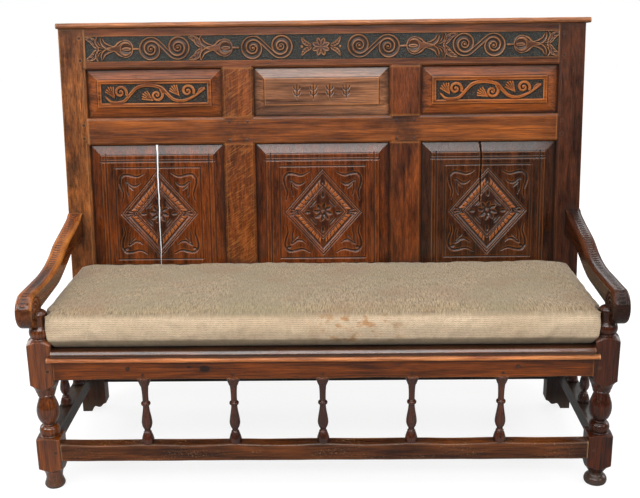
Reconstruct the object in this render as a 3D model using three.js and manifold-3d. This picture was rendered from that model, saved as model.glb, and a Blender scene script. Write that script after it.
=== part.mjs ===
// A panelled oak settle bench: turned front posts, scrolled arms, a raked panelled back,
// an arcade of turned spindles under the seat and a loose cushion.
// Lengths are millimetres, +Z is up. Work coordinates: X runs along the seat, Y runs back
// from the front faces of the front posts, Z rises from the floor.
import * as THREE from 'three';
import { mergeVertices } from 'three/addons/utils/BufferGeometryUtils.js';
import Module from 'manifold-3d';

// Allowances shared by every joint
const gap = 0.3;
const overrun = 4;
const mergeTolerance = 0.001;

// Overall sizes
const frameWidth = 1650;
const seatDepth = 450;
const seatHeight = 438;
const backRake = 6;

// Front posts
const postSize = 69;
const postSides = 16;
const blockMargin = 13;
const lowerBlockDrop = 23;
const upperBlockDrop = 17;
const upperBlockRise = 9;
const postNeckHeight = 98;
const cornerShare = 0.72;
const neckShare = 0.35;
const footRunShares = [[0.38, 0], [0.478, 0.17], [0.30, 0.48], [0.41, 0.7], [cornerShare, 1]];
const waistRunShares = [
  [[cornerShare, 0], [0.54, 0.08], [0.38, 0.12]],
  [[0.35, 0.125], [0.395, 0.185], [0.35, 0.245]],
  [[0.29, 0.26], [0.478, 0.46], [0.37, 0.60], [0.29, 0.69]],
  [[0.33, 0.70], [0.33, 0.76]],
  [[0.36, 0.77], [0.46, 0.88], [cornerShare, 1]],
];
const headRunShares = [
  [[cornerShare, 0], [0.54, 0.12], [0.39, 0.19]],
  [[0.38, 0.21], [0.457, 0.40], [0.36, 0.58]],
  [[0.33, 0.60], [neckShare, 1]],
];

// Rails and stretchers
const seatRailHeight = 66;
const seatRailThickness = 38;
const stretcherBottom = 93;
const stretcherHeight = 54;
const stretcherThickness = 34;
const sideRailThickness = 40;
const sideStretcherBottom = 126;
const sideStretcherHeight = 44;
const rearStretcherBottom = 105;
const rearStretcherHeight = 45;
const rearStretcherInset = 6;
const bearerWidth = 50;
const bearerHeight = 48;

// Joints
const tenonLength = 34;
const tenonThickness = 12;
const tenonShoulder = 14;
const tenonSetback = 12;
const sideTenonShoulder = 10;
const stubTenonLength = 12;
const pegRadius = 4.5;
const pegProud = 1.2;
const pegLength = 32;
const pegSides = 8;
const pegInset = 15;

// Seat boards and the moulding under their front edge
const boardThickness = 20;
const boardCount = 3;
const boardEndInset = 14;
const nosingProjection = 14;
const nosingRollHeight = 12;
const nosingCoveDepth = 7;
const boardHousing = 10;
const beadHeight = 15;
const beadThickness = 13;
const beadLap = 13;
const arcSteps = 4;

// Spindles
const spindleRadius = 17.5;
const spindleSides = 10;
const frontSpindleCount = 5;
const sideSpindleCount = 2;
const pinRadius = 6.5;
const pinLength = 12;
const spindleRunShares = [
  [[0.94, 0], [0.94, 0.07], [0.68, 0.13]],
  [[0.70, 0.14], [0.70, 0.19]],
  [[0.45, 0.20], [0.43, 0.25], [0.91, 0.37], [0.66, 0.48], [0.51, 0.60]],
  [[0.62, 0.61], [0.77, 0.645], [0.62, 0.68]],
  [[0.51, 0.69], [0.62, 0.83], [1, 1]],
];

// The back, measured up its rake from the underside of the seat rails
const stileWidth = 80;
const stileDepth = 50;
const backRailDepth = 40;
const rearRailHeight = 111;
const lowerOpeningHeight = 445;
const middleRailHeight = 88;
const upperOpeningHeight = 151;
const crestRailHeight = 127;
const muntinWidth = 103;
const mouldingRadius = 8;
const mouldingStep = 1.6;
const grooveDepth = 10;
const grooveFront = 15;
const grooveWidth = 7;
const friezeHeight = 78;
const friezeLift = 25;
const friezeMargin = 3;
const friezeDepth = 5;
const footNotchHeight = 20;
const footNotchShares = [
  [0.62, 0], [0.56, 0.5], [0.46, 0.95], [0.34, 0.8], [0.22, 0.85], [0.12, 1.3], [0, 1.5],
];

// Panels
const panelBevel = 32;
const panelFieldStep = 2.5;
const upperFieldDepth = 5;
const lowerFieldDepth = 6;
const carvedMargin = 12;
const carvedDepth = 4;
const lowerCarvedMargin = 5;
const lowerCarvedDepth = 1;
const splitWidth = 7;
const splitTipWidth = 1.6;
const splitLengthShare = 0.86;
const splitOffsetShare = 0.01;

// Top capping
const cappingThickness = 17;
const cappingEndOverhang = 14;
const cappingFrontOverhang = 12;
const cappingBackOverhang = 6;

// Arms
const armRearRise = 250;
const armFrontRise = 166;
const armDepth = 85;
const armFrontDepth = 59;
const armWidth = 46;
const armProud = 2;
const armFrontFlare = 8;
const rollRadius = 50;
const rollSetback = 13;
const rollEndAngle = -14;
const armTopShares = [
  [0.19, -0.02], [0.328, -0.02], [0.44, 0.06], [0.54, 0.23], [0.65, 0.49], [0.823, 0.73],
];
const armUnderShares = [
  [0.85, 1], [0.73, 0.9], [0.63, 0.62], [0.51, 0.28], [0.42, 0.1], [0.25, 0.02],
];
const armCurveSteps = 2;
const armTenonHeight = 52;
const armTenonThickness = 16;
const armTenonLength = 32;
const armTenonDrop = 16;
const postTenonWidth = 18;
const postTenonDepth = 22;
const postTenonHeight = 34;
const postTenonOffset = 11;

// Cushion
const cushionThickness = 104;
const cushionCrown = 12;
const cushionFrontInset = 8;
const cushionBackClearance = 14;
const cushionSideClearance = 3;
const cushionPostClearance = 3;
const cushionPostTaper = 60;
const cushionCornerRadius = 20;
const cushionEdgeRound = 16;
const cushionSideBow = 5;
const cushionLongSteps = 16;
const cushionShortSteps = 16;

// Levels and faces worked out from the sizes above
const rake = THREE.MathUtils.degToRad(backRake);
const halfWidth = frameWidth / 2;
const postInner = halfWidth - postSize;
const postCentreX = halfWidth - postSize / 2;
const postCentreY = postSize / 2;
const rearPostFront = postSize + seatDepth;
const boardUnderside = seatHeight - boardThickness;
const seatRailTop = boardUnderside - gap;
const seatRailBottom = seatRailTop - seatRailHeight;
const stretcherTop = stretcherBottom + stretcherHeight;
const lowerBlockBottom = stretcherBottom - lowerBlockDrop;
const lowerBlockTop = stretcherTop + blockMargin;
const upperBlockBottom = seatRailBottom - upperBlockDrop;
const upperBlockTop = seatHeight + upperBlockRise;
const postNeckTop = upperBlockTop + postNeckHeight;
const stileInner = halfWidth - stileWidth;
const openingWidth = (2 * stileInner - 2 * muntinWidth) / 3;
const lowerOpeningBottom = rearRailHeight;
const middleRailBottom = lowerOpeningBottom + lowerOpeningHeight;
const middleRailTop = middleRailBottom + middleRailHeight;
const crestRailBottom = middleRailTop + upperOpeningHeight;
const stileTop = crestRailBottom + crestRailHeight;
const armInner = halfWidth + armProud - armWidth;
const armRearTop = seatHeight + armRearRise;
const armFrontTop = seatHeight + armFrontRise;
const rollCentreY = rollSetback;
const rollCentreZ = armFrontTop - rollRadius;
const armFrontUnder = armFrontTop - armFrontDepth;
const armRearUnder = armRearTop - armDepth;

// The raked back is built upright in its own coordinates (X, depth, height) and leans about
// the line where the front faces of the rear posts change direction.
const backFrame = new THREE.Matrix4().makeRotationX(-rake).setPosition(0, rearPostFront, seatRailBottom);
const intoBackFrame = backFrame.clone().invert();

const finish = (name, color, roughness) => (
  new THREE.MeshStandardMaterial({ name, color, roughness, metalness: 0 }));
const oak = finish('oak_frame', 0x6e3b1f, 0.45);
const panelOak = finish('oak_panel', 0x5a2f19, 0.5);
const carvedOak = finish('oak_carved', 0x4c2a1a, 0.5);
const fabric = finish('cushion_fabric', 0xa89878, 0.95);

const wasm = await Module();
wasm.setup();

// Solids

function solidOf(geometry) {
  const bare = geometry.clone();
  bare.deleteAttribute('normal');
  bare.deleteAttribute('uv');
  const merged = mergeVertices(bare, mergeTolerance);
  const corners = merged.index.array;
  const triangles = [];
  for (let i = 0; i < corners.length; i += 3) {
    const [a, b, c] = [corners[i], corners[i + 1], corners[i + 2]];
    if (a !== b && b !== c && c !== a) triangles.push(a, b, c);
  }
  return new wasm.Manifold(new wasm.Mesh({
    numProp: 3,
    vertProperties: new Float32Array(merged.attributes.position.array),
    triVerts: new Uint32Array(triangles),
  }));
}

function geometryOf(solid) {
  const mesh = solid.getMesh();
  const geometry = new THREE.BufferGeometry();
  geometry.setAttribute('position', new THREE.BufferAttribute(new Float32Array(mesh.vertProperties), 3));
  geometry.setIndex(new THREE.BufferAttribute(new Uint32Array(mesh.triVerts), 1));
  geometry.computeVertexNormals();
  return geometry;
}

function combine(first, others, operation) {
  let solid = solidOf(first);
  for (const other of others) solid = operation(solid, solidOf(other));
  return geometryOf(solid);
}

const joined = (first, ...others) => combine(first, others, (a, b) => a.add(b));
const cut = (first, ...tools) => combine(first, tools, (a, b) => a.subtract(b));
const shared = (first, ...others) => combine(first, others, (a, b) => a.intersect(b));

// Boxes, which rails, tenons and mortises are made of

function span(xa, xb, ya, yb, za, zb) {
  const box = new THREE.Box3();
  box.expandByPoint(new THREE.Vector3(xa, ya, za));
  box.expandByPoint(new THREE.Vector3(xb, yb, zb));
  return box;
}

function block(box) {
  const size = box.getSize(new THREE.Vector3());
  const centre = box.getCenter(new THREE.Vector3());
  const geometry = new THREE.BoxGeometry(size.x, size.y, size.z);
  geometry.translate(centre.x, centre.y, centre.z);
  return geometry;
}

// The hole that receives a tenon
const mortise = (tenon) => block(tenon.clone().expandByScalar(gap));

// Outlines pulled along an axis

function prismAlongX(outline, xa, xb) {
  const options = { depth: xb - xa, bevelEnabled: false, curveSegments: arcSteps };
  const geometry = new THREE.ExtrudeGeometry(outline, options);
  const toX = new THREE.Matrix4().makeBasis(
    new THREE.Vector3(0, 1, 0), new THREE.Vector3(0, 0, 1), new THREE.Vector3(1, 0, 0));
  geometry.applyMatrix4(toX);
  geometry.translate(xa, 0, 0);
  return geometry;
}

function prismAlongY(outline, ya, yb) {
  const geometry = new THREE.ExtrudeGeometry(outline, { depth: yb - ya, bevelEnabled: false });
  geometry.rotateX(Math.PI / 2);
  geometry.translate(0, yb, 0);
  return geometry;
}

const outlineOf = (pairs) => new THREE.Shape(pairs.map(([a, b]) => new THREE.Vector2(a, b)));

// Turned pieces about a vertical axis

function turnedRun(shares, radius, bottom, height) {
  const points = shares.map(([r, h]) => new THREE.Vector2(r * radius, bottom + h * height));
  return new THREE.SplineCurve(points).getPoints(2 * (points.length - 1));
}

function turnedRuns(runs, radius, bottom, height) {
  return runs.flatMap((shares) => turnedRun(shares, radius, bottom, height));
}

function turned(points, sides) {
  const bottom = new THREE.Vector2(0, points[0].y);
  const top = new THREE.Vector2(0, points[points.length - 1].y);
  const geometry = new THREE.LatheGeometry([bottom, ...points, top], sides);
  geometry.rotateX(Math.PI / 2);
  return geometry;
}

const rod = (radius, bottom, top, sides) => turned(
  [new THREE.Vector2(radius, bottom), new THREE.Vector2(radius, top)], sides);

function rodAlongY(radius, x, ya, yb, z, sides) {
  const geometry = rod(radius, ya, yb, sides);
  geometry.rotateX(-Math.PI / 2);
  geometry.translate(x, 0, z);
  return geometry;
}

// A closed skin over rings of points that all run the same way round
function loft(rings) {
  const count = rings[0].length;
  const geometry = new THREE.BufferGeometry().setFromPoints(rings.flat());
  const faces = [];
  for (let k = 0; k + 1 < rings.length; k += 1) {
    for (let i = 0; i < count; i += 1) {
      const a = k * count + i;
      const b = k * count + (i + 1) % count;
      faces.push(a, b, b + count, a, b + count, a + count);
    }
  }
  const last = (rings.length - 1) * count;
  for (let i = 1; i + 1 < count; i += 1) {
    faces.push(0, i + 1, i);
    faces.push(last, last + i, last + i + 1);
  }
  geometry.setIndex(faces);
  return geometry;
}

function place(parent, name, geometry, material) {
  const mesh = new THREE.Mesh(geometry, material);
  mesh.name = name;
  parent.add(mesh);
  return mesh;
}

const sides = [['left', -1], ['right', 1]];

// Where the raked front of the back stands at a height above the floor
const backFaceAt = (z) => rearPostFront + Math.max(0, z - seatRailBottom) * Math.tan(rake);

// Front posts

const frontRailTenon = (side) => span(
  side * (postInner - overrun), side * (postInner + tenonLength),
  tenonSetback, tenonSetback + tenonThickness,
  seatRailBottom + tenonShoulder, seatRailTop - tenonShoulder);

const frontStretcherTenon = (side) => span(
  side * (postInner - overrun), side * (postInner + tenonLength),
  tenonSetback, tenonSetback + tenonThickness,
  stretcherBottom + tenonShoulder, stretcherTop - tenonShoulder);

function sideTenon(side, ya, yb, bottom, top) {
  return span(
    side * (postCentreX - tenonThickness / 2), side * (postCentreX + tenonThickness / 2),
    ya, yb, bottom + sideTenonShoulder, top - sideTenonShoulder);
}

const sideStretcherTop = sideStretcherBottom + sideStretcherHeight;
const frontEndTenon = (side, bottom, top) => (
  sideTenon(side, postSize - tenonLength, postSize + overrun, bottom, top));
const rearEndTenon = (side, bottom, top) => sideTenon(
  side, rearPostFront - overrun, rearPostFront + tenonLength, bottom, top);

const postTopTenon = (side) => {
  const x = postCentreX + postTenonOffset;
  return span(
    side * (x - postTenonWidth / 2), side * (x + postTenonWidth / 2),
    postCentreY - postTenonDepth / 2, postCentreY + postTenonDepth / 2,
    postNeckTop - overrun, postNeckTop + postTenonHeight);
};

function turnedPost() {
  const blank = turned([
    ...turnedRun(footRunShares, postSize, 0, lowerBlockBottom),
    ...turnedRuns(waistRunShares, postSize, lowerBlockTop, upperBlockBottom - lowerBlockTop),
    ...turnedRuns(headRunShares, postSize, upperBlockTop, postNeckHeight),
  ], postSides);
  const half = postSize / 2;
  const stock = block(span(-half, half, -half, half, -overrun, postNeckTop + overrun));
  return shared(blank, stock);
}

const frontPegPlaces = [
  ['rail', postInner + pegInset, seatRailBottom + tenonShoulder + 2 * pegRadius],
  ['stretcher', postInner + pegInset, stretcherBottom + stretcherHeight / 2],
];

const pegHole = (x, z) => rodAlongY(pegRadius + gap, x, -overrun, pegLength + gap, z, pegSides);
const pegAt = (x, z) => rodAlongY(pegRadius, x, -pegProud, pegLength, z, pegSides);

function frontPost(side) {
  const post = turnedPost();
  post.translate(side * postCentreX, postCentreY, 0);
  const whole = joined(post, block(postTopTenon(side)));
  return cut(
    whole,
    mortise(frontRailTenon(side)),
    mortise(frontStretcherTenon(side)),
    mortise(frontEndTenon(side, seatRailBottom, seatRailTop)),
    mortise(frontEndTenon(side, sideStretcherBottom, sideStretcherTop)),
    ...frontPegPlaces.map(([, x, z]) => pegHole(side * x, z)),
  );
}

// Rails and stretchers of the seat

const frontSpindleY = stretcherThickness / 2;
const frontSpindleX = (i) => -postInner + (2 * postInner * (i + 1)) / (frontSpindleCount + 1);
const sideSpindleY = (i) => postSize + (seatDepth * (i + 1)) / (sideSpindleCount + 1);

function pinHoles(places, faceZ) {
  return places.map(([x, y]) => {
    const hole = rod(pinRadius + gap, faceZ - pinLength - gap, faceZ + pinLength + gap, spindleSides);
    hole.translate(x, y, 0);
    return hole;
  });
}

const frontSpindlePlaces = Array.from(
  { length: frontSpindleCount }, (_, i) => [frontSpindleX(i), frontSpindleY]);
const sideSpindlePlaces = (side) => Array.from(
  { length: sideSpindleCount }, (_, i) => [side * postCentreX, sideSpindleY(i)]);

const bearerX = openingWidth / 2 + muntinWidth / 2;
const bearerBottom = seatRailTop - bearerHeight;
const bearerFrontTenon = (side) => span(
  side * bearerX - bearerWidth / 2 + tenonShoulder, side * bearerX + bearerWidth / 2 - tenonShoulder,
  seatRailThickness - stubTenonLength, seatRailThickness + overrun,
  bearerBottom + sideTenonShoulder, seatRailTop - sideTenonShoulder);
const bearerRearTenon = (side) => span(
  side * bearerX - bearerWidth / 2 + tenonShoulder, side * bearerX + bearerWidth / 2 - tenonShoulder,
  backFaceAt(bearerBottom) - overrun, backFaceAt(seatRailTop) + stubTenonLength,
  bearerBottom + sideTenonShoulder, seatRailTop - sideTenonShoulder);

function frontSeatRail() {
  const body = block(span(
    -(postInner - gap), postInner - gap, 0, seatRailThickness, seatRailBottom, seatRailTop));
  const whole = joined(body, ...sides.map(([, side]) => block(frontRailTenon(side))));
  return cut(
    whole,
    ...pinHoles(frontSpindlePlaces, seatRailBottom),
    ...sides.map(([, side]) => mortise(bearerFrontTenon(side))),
    ...sides.map(([, side]) => pegHole(side * frontPegPlaces[0][1], frontPegPlaces[0][2])),
  );
}

function frontStretcher() {
  const body = block(span(
    -(postInner - gap), postInner - gap, 0, stretcherThickness, stretcherBottom, stretcherTop));
  const whole = joined(body, ...sides.map(([, side]) => block(frontStretcherTenon(side))));
  return cut(
    whole,
    ...pinHoles(frontSpindlePlaces, stretcherTop),
    ...sides.map(([, side]) => pegHole(side * frontPegPlaces[1][1], frontPegPlaces[1][2])),
  );
}

// A rail from a front post to the raked face of a rear post
function sideMember(side, bottom, top, holesAt) {
  const outline = outlineOf([
    [postSize + gap, bottom], [backFaceAt(bottom) - gap, bottom],
    [backFaceAt(top) - gap, top], [postSize + gap, top],
  ]);
  const centre = side * postCentreX;
  const body = prismAlongX(outline, centre - sideRailThickness / 2, centre + sideRailThickness / 2);
  const tenons = [frontEndTenon(side, bottom, top), rearEndTenon(side, bottom, top)];
  const whole = joined(body, ...tenons.map((tenon) => block(tenon)));
  return cut(whole, ...pinHoles(sideSpindlePlaces(side), holesAt));
}

const rearStretcherFront = rearPostFront + rearStretcherInset;
const rearStretcherTenon = (side) => span(
  side * (stileInner - overrun), side * (stileInner + tenonLength),
  rearStretcherFront + tenonSetback, rearStretcherFront + tenonSetback + tenonThickness,
  rearStretcherBottom + sideTenonShoulder, rearStretcherBottom + rearStretcherHeight - sideTenonShoulder);

function rearStretcher() {
  const body = block(span(
    -(stileInner - gap), stileInner - gap,
    rearStretcherFront, rearStretcherFront + stretcherThickness,
    rearStretcherBottom, rearStretcherBottom + rearStretcherHeight));
  return joined(body, ...sides.map(([, side]) => block(rearStretcherTenon(side))));
}

function bearer(side) {
  const outline = outlineOf([
    [seatRailThickness + gap, bearerBottom], [backFaceAt(bearerBottom) - gap, bearerBottom],
    [backFaceAt(seatRailTop) - gap, seatRailTop], [seatRailThickness + gap, seatRailTop],
  ]);
  const centre = side * bearerX;
  const body = prismAlongX(outline, centre - bearerWidth / 2, centre + bearerWidth / 2);
  return joined(body, block(bearerFrontTenon(side)), block(bearerRearTenon(side)));
}

// Spindles

function spindle(bottom, top) {
  const foot = bottom + gap;
  const head = top - gap;
  return turned([
    new THREE.Vector2(pinRadius, foot - pinLength), new THREE.Vector2(pinRadius, foot),
    ...turnedRuns(spindleRunShares, spindleRadius, foot, head - foot),
    new THREE.Vector2(pinRadius, head), new THREE.Vector2(pinRadius, head + pinLength),
  ], spindleSides);
}

// Seat boards

const seatBack = backFaceAt(boardUnderside) + boardHousing;
const boardPitch = (seatBack + nosingProjection) / boardCount;

function nosingOutline(backY) {
  const outline = new THREE.Shape();
  const rollRadiusZ = nosingRollHeight / 2;
  outline.moveTo(backY, boardUnderside);
  outline.lineTo(backY, seatHeight);
  outline.lineTo(rollRadiusZ - nosingProjection, seatHeight);
  outline.absarc(
    rollRadiusZ - nosingProjection, seatHeight - rollRadiusZ, rollRadiusZ, Math.PI / 2, 3 * Math.PI / 2);
  outline.lineTo(nosingCoveDepth - nosingProjection, seatHeight - nosingRollHeight);
  outline.lineTo(nosingCoveDepth - nosingProjection, boardUnderside);
  return outline;
}

// Room round a front post's upper block and head, and round a rear post
const postRoom = (side) => block(span(
  side * (postInner - gap), side * (halfWidth + overrun), -nosingProjection - overrun, postSize + gap,
  boardUnderside - overrun, seatHeight + overrun));
const stileRoom = (side) => block(span(
  side * (stileInner - gap), side * (halfWidth + overrun),
  backFaceAt(boardUnderside) - gap, seatBack + overrun,
  boardUnderside - overrun, seatHeight + overrun));

function seatBoard(i) {
  const reach = halfWidth - boardEndInset;
  const front = i * boardPitch - nosingProjection + (i > 0 ? gap / 2 : 0);
  const back = (i + 1) * boardPitch - nosingProjection - gap / 2;
  if (i === 0) {
    const nosed = prismAlongX(nosingOutline(back), -reach, reach);
    return cut(nosed, ...sides.map(([, s]) => postRoom(s)));
  }
  const board = block(span(-reach, reach, front, back, boardUnderside, seatHeight));
  if (i + 1 < boardCount) return board;
  return cut(board, ...sides.map(([, s]) => stileRoom(s)));
}

function seatBead() {
  const outline = new THREE.Shape();
  const radius = beadHeight / 2;
  const top = boardUnderside - gap;
  outline.moveTo(-gap, top - beadHeight);
  outline.lineTo(-gap, top);
  outline.lineTo(radius - beadThickness, top);
  outline.absarc(radius - beadThickness, top - radius, radius, Math.PI / 2, 3 * Math.PI / 2);
  return prismAlongX(outline, -(postInner + beadLap), postInner + beadLap);
}

// The back: openings and what is cut round them

function openingAt(column, bottom, height) {
  const left = -stileInner + column * (openingWidth + muntinWidth);
  return { left, right: left + openingWidth, bottom, top: bottom + height };
}

const upperOpenings = [0, 1, 2].map((c) => openingAt(c, middleRailTop, upperOpeningHeight));
const lowerOpenings = [0, 1, 2].map((c) => openingAt(c, lowerOpeningBottom, lowerOpeningHeight));
const openings = [...upperOpenings, ...lowerOpenings];

const ringRound = (opening, grow, depth) => [
  new THREE.Vector3(opening.right + grow, depth, opening.top + grow),
  new THREE.Vector3(opening.right + grow, depth, opening.bottom - grow),
  new THREE.Vector3(opening.left - grow, depth, opening.bottom - grow),
  new THREE.Vector3(opening.left - grow, depth, opening.top + grow),
];

function grooveCutter(opening) {
  return block(span(
    opening.left - grooveDepth, opening.right + grooveDepth,
    grooveFront, grooveFront + grooveWidth,
    opening.bottom - grooveDepth, opening.top + grooveDepth));
}

// Leaves a stepped quarter-round moulding on the front arris of every member round an opening
function mouldingCutter(opening) {
  const rings = [ringRound(opening, mouldingRadius, -overrun)];
  for (let i = 0; i <= arcSteps; i += 1) {
    const angle = (Math.PI / 2) * (1 - i / arcSteps);
    const grow = mouldingRadius * (1 - Math.cos(angle));
    const depth = mouldingStep + mouldingRadius * (1 - Math.sin(angle));
    rings.push(ringRound(opening, grow, depth));
  }
  rings.push(ringRound(opening, 0, backRailDepth + overrun));
  return loft(rings);
}

const openingCutters = openings.flatMap((opening) => [grooveCutter(opening), mouldingCutter(opening)]);

// Rails of the back: each row is a name, its bottom and its top up the rake
const backRails = {
  crest: [crestRailBottom, stileTop],
  middle: [middleRailBottom, middleRailTop],
  rear: [0, rearRailHeight],
};

const backRailTenon = (side, [bottom, top]) => span(
  side * (stileInner - overrun), side * (stileInner + tenonLength),
  tenonSetback, tenonSetback + tenonThickness, bottom + tenonShoulder, top - tenonShoulder);

const muntinTenon = (side, bottom, top) => span(
  side * bearerX - muntinWidth / 2 + tenonShoulder, side * bearerX + muntinWidth / 2 - tenonShoulder,
  tenonSetback, tenonSetback + tenonThickness, bottom, top);

const muntinSpans = {
  upper: [middleRailTop, crestRailBottom],
  lower: [lowerOpeningBottom, middleRailBottom],
};

const muntinMortises = sides.flatMap(([, side]) => Object.values(muntinSpans).map(
  ([bottom, top]) => mortise(muntinTenon(side, bottom - stubTenonLength, top + stubTenonLength))));

const backPegPlaces = [
  ['crest_upper', stileTop - tenonShoulder - pegInset],
  ['crest_lower', crestRailBottom + tenonShoulder + pegInset],
  ['middle_upper', middleRailTop - tenonShoulder - pegRadius * 2],
  ['middle_lower', middleRailBottom + tenonShoulder + pegRadius * 2],
  ['seat', tenonShoulder + pegInset],
];
const backPegX = stileInner + pegInset;
const backPegHoles = sides.flatMap(
  ([, side]) => backPegPlaces.map(([, height]) => pegHole(side * backPegX, height)));

function backRail(limits) {
  const body = block(span(
    -(stileInner - gap), stileInner - gap, 0, backRailDepth, limits[0], limits[1] - gap));
  const whole = joined(body, ...sides.map(([, side]) => block(backRailTenon(side, limits))));
  return cut(whole, ...openingCutters, ...muntinMortises, ...backPegHoles);
}

function crestRail() {
  const bandBottom = crestRailBottom + friezeLift;
  const reach = stileInner - friezeMargin;
  const band = block(span(-reach, reach, -overrun, friezeDepth, bandBottom, bandBottom + friezeHeight));
  return cut(backRail(backRails.crest), band);
}

// The rear seat rail also takes the ends of the bearers and the edge of the last seat board
function rearSeatRail() {
  const housing = block(span(
    -halfWidth, halfWidth, backFaceAt(seatRailBottom) - overrun, seatBack + gap,
    boardUnderside - gap, seatHeight + gap));
  housing.applyMatrix4(intoBackFrame);
  const bearerHoles = sides.map(([, side]) => mortise(bearerRearTenon(side)).applyMatrix4(intoBackFrame));
  return cut(backRail(backRails.rear), housing, ...bearerHoles);
}

function muntin(side, [bottom, top]) {
  const body = block(span(
    side * bearerX - muntinWidth / 2, side * bearerX + muntinWidth / 2,
    0, backRailDepth, bottom + gap, top - gap));
  const tenon = block(muntinTenon(side, bottom - stubTenonLength, top + stubTenonLength));
  return cut(joined(body, tenon), ...openingCutters);
}

// Rear posts

function stileOutline() {
  const foot = new THREE.Vector3(0, rearPostFront, 0).applyMatrix4(intoBackFrame);
  const heel = new THREE.Vector3(0, rearPostFront + stileDepth, 0).applyMatrix4(intoBackFrame);
  return outlineOf([
    [foot.y, foot.z], [heel.y, heel.z],
    [stileDepth, -stileDepth * Math.tan(rake / 2)], [stileDepth, stileTop], [0, stileTop], [0, 0],
  ]);
}

function footNotch(side) {
  const places = footNotchShares.map(([x, z]) => new THREE.Vector2(
    side * (stileInner + x * stileWidth), z * footNotchHeight));
  const edge = new THREE.SplineCurve(places).getPoints(2 * (places.length - 1));
  const last = edge[edge.length - 1];
  const outline = new THREE.Shape([
    new THREE.Vector2(places[0].x, -overrun), ...edge,
    new THREE.Vector2(last.x - side * overrun, last.y),
    new THREE.Vector2(last.x - side * overrun, -overrun),
  ]);
  const notch = prismAlongY(outline, rearPostFront - overrun, rearPostFront + stileDepth + overrun);
  return notch.applyMatrix4(intoBackFrame);
}

const armTenon = (side) => {
  const x = armInner + armWidth / 2;
  const top = armRearTop - armTenonDrop;
  return span(
    side * (x - armTenonThickness / 2), side * (x + armTenonThickness / 2),
    backFaceAt(top - armTenonHeight) - 2 * overrun, backFaceAt(top) + armTenonLength - overrun,
    top - armTenonHeight, top);
};

function rearPost(side) {
  const blank = prismAlongX(stileOutline(), Math.min(side * stileInner, side * halfWidth),
    Math.max(side * stileInner, side * halfWidth));
  const railHoles = Object.values(backRails).map((limits) => mortise(backRailTenon(side, limits)));
  const seatHoles = [
    rearEndTenon(side, seatRailBottom, seatRailTop),
    rearEndTenon(side, sideStretcherBottom, sideStretcherTop),
    rearStretcherTenon(side),
    armTenon(side),
  ].map((tenon) => mortise(tenon).applyMatrix4(intoBackFrame));
  return cut(blank, footNotch(side), ...railHoles, ...seatHoles, ...openingCutters, ...backPegHoles);
}

// Panels, feathered into the grooves round their openings

function panel(opening, fieldDepth, margin, sunk) {
  const reach = grooveDepth - 4 * gap;
  const rings = [
    ringRound(opening, -panelBevel - margin, fieldDepth + sunk),
    ringRound(opening, -panelBevel - margin, fieldDepth),
    ringRound(opening, -panelBevel, fieldDepth),
    ringRound(opening, -panelBevel, fieldDepth + panelFieldStep),
    ringRound(opening, -gap, grooveFront + gap),
    ringRound(opening, reach, grooveFront + gap),
    ringRound(opening, reach, grooveFront + grooveWidth - gap),
  ];
  return loft(rings);
}

// A shrinkage split, open at the panel's top edge and closing downwards
function splitCutter(opening) {
  const x = (opening.left + opening.right) / 2 + splitOffsetShare * openingWidth;
  const top = opening.top + grooveDepth + overrun;
  const tip = opening.top - splitLengthShare * lowerOpeningHeight;
  const outline = outlineOf([
    [x - splitTipWidth / 2, tip], [x + splitTipWidth / 2, tip],
    [x + splitWidth / 2, top], [x - splitWidth / 2, top],
  ]);
  return prismAlongY(outline, -overrun, backRailDepth + overrun);
}

// Capping over the stiles and crest rail

function capping() {
  const radius = cappingThickness / 2;
  const bottom = stileTop + gap;
  const outline = new THREE.Shape();
  outline.moveTo(stileDepth + cappingBackOverhang, bottom);
  outline.lineTo(stileDepth + cappingBackOverhang, bottom + cappingThickness);
  outline.lineTo(radius - cappingFrontOverhang, bottom + cappingThickness);
  outline.absarc(radius - cappingFrontOverhang, bottom + radius, radius, Math.PI / 2, 3 * Math.PI / 2);
  const reach = halfWidth + cappingEndOverhang;
  return prismAlongX(outline, -reach, reach);
}

// Arms

function armOutline() {
  const rear = backFaceAt(armRearTop) - gap;
  const rearUnder = backFaceAt(armRearUnder) - gap;
  const length = rear - rollCentreY;
  const start = THREE.MathUtils.degToRad(rollEndAngle);
  const rollEnd = new THREE.Vector2(
    rollCentreY + rollRadius * Math.cos(start), rollCentreZ + rollRadius * Math.sin(start));
  const along = (shares, low, high) => shares.map(([y, z]) => new THREE.Vector2(
    rollCentreY + y * length, THREE.MathUtils.lerp(low, high, z)));
  const top = [
    new THREE.Vector2(rollCentreY, armFrontTop),
    ...along(armTopShares, armFrontTop, armRearTop),
    new THREE.Vector2(rear, armRearTop),
  ];
  const under = [
    new THREE.Vector2(rearUnder, armRearUnder),
    ...along(armUnderShares, armFrontUnder, armRearUnder),
    rollEnd,
  ];
  const smooth = (points) => new THREE.SplineCurve(points).getPoints(armCurveSteps * (points.length - 1));
  const outline = new THREE.Shape();
  outline.setFromPoints([...smooth(top).reverse().slice(0, -1)]);
  outline.absarc(rollCentreY, rollCentreZ, rollRadius, Math.PI / 2, 2 * Math.PI + start);
  for (const point of smooth(under).reverse().slice(1)) outline.lineTo(point.x, point.y);
  return outline;
}

// The arm leans outwards towards the front
const armLeanAt = (y) => armFrontFlare * (1 - y / rearPostFront);

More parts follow.
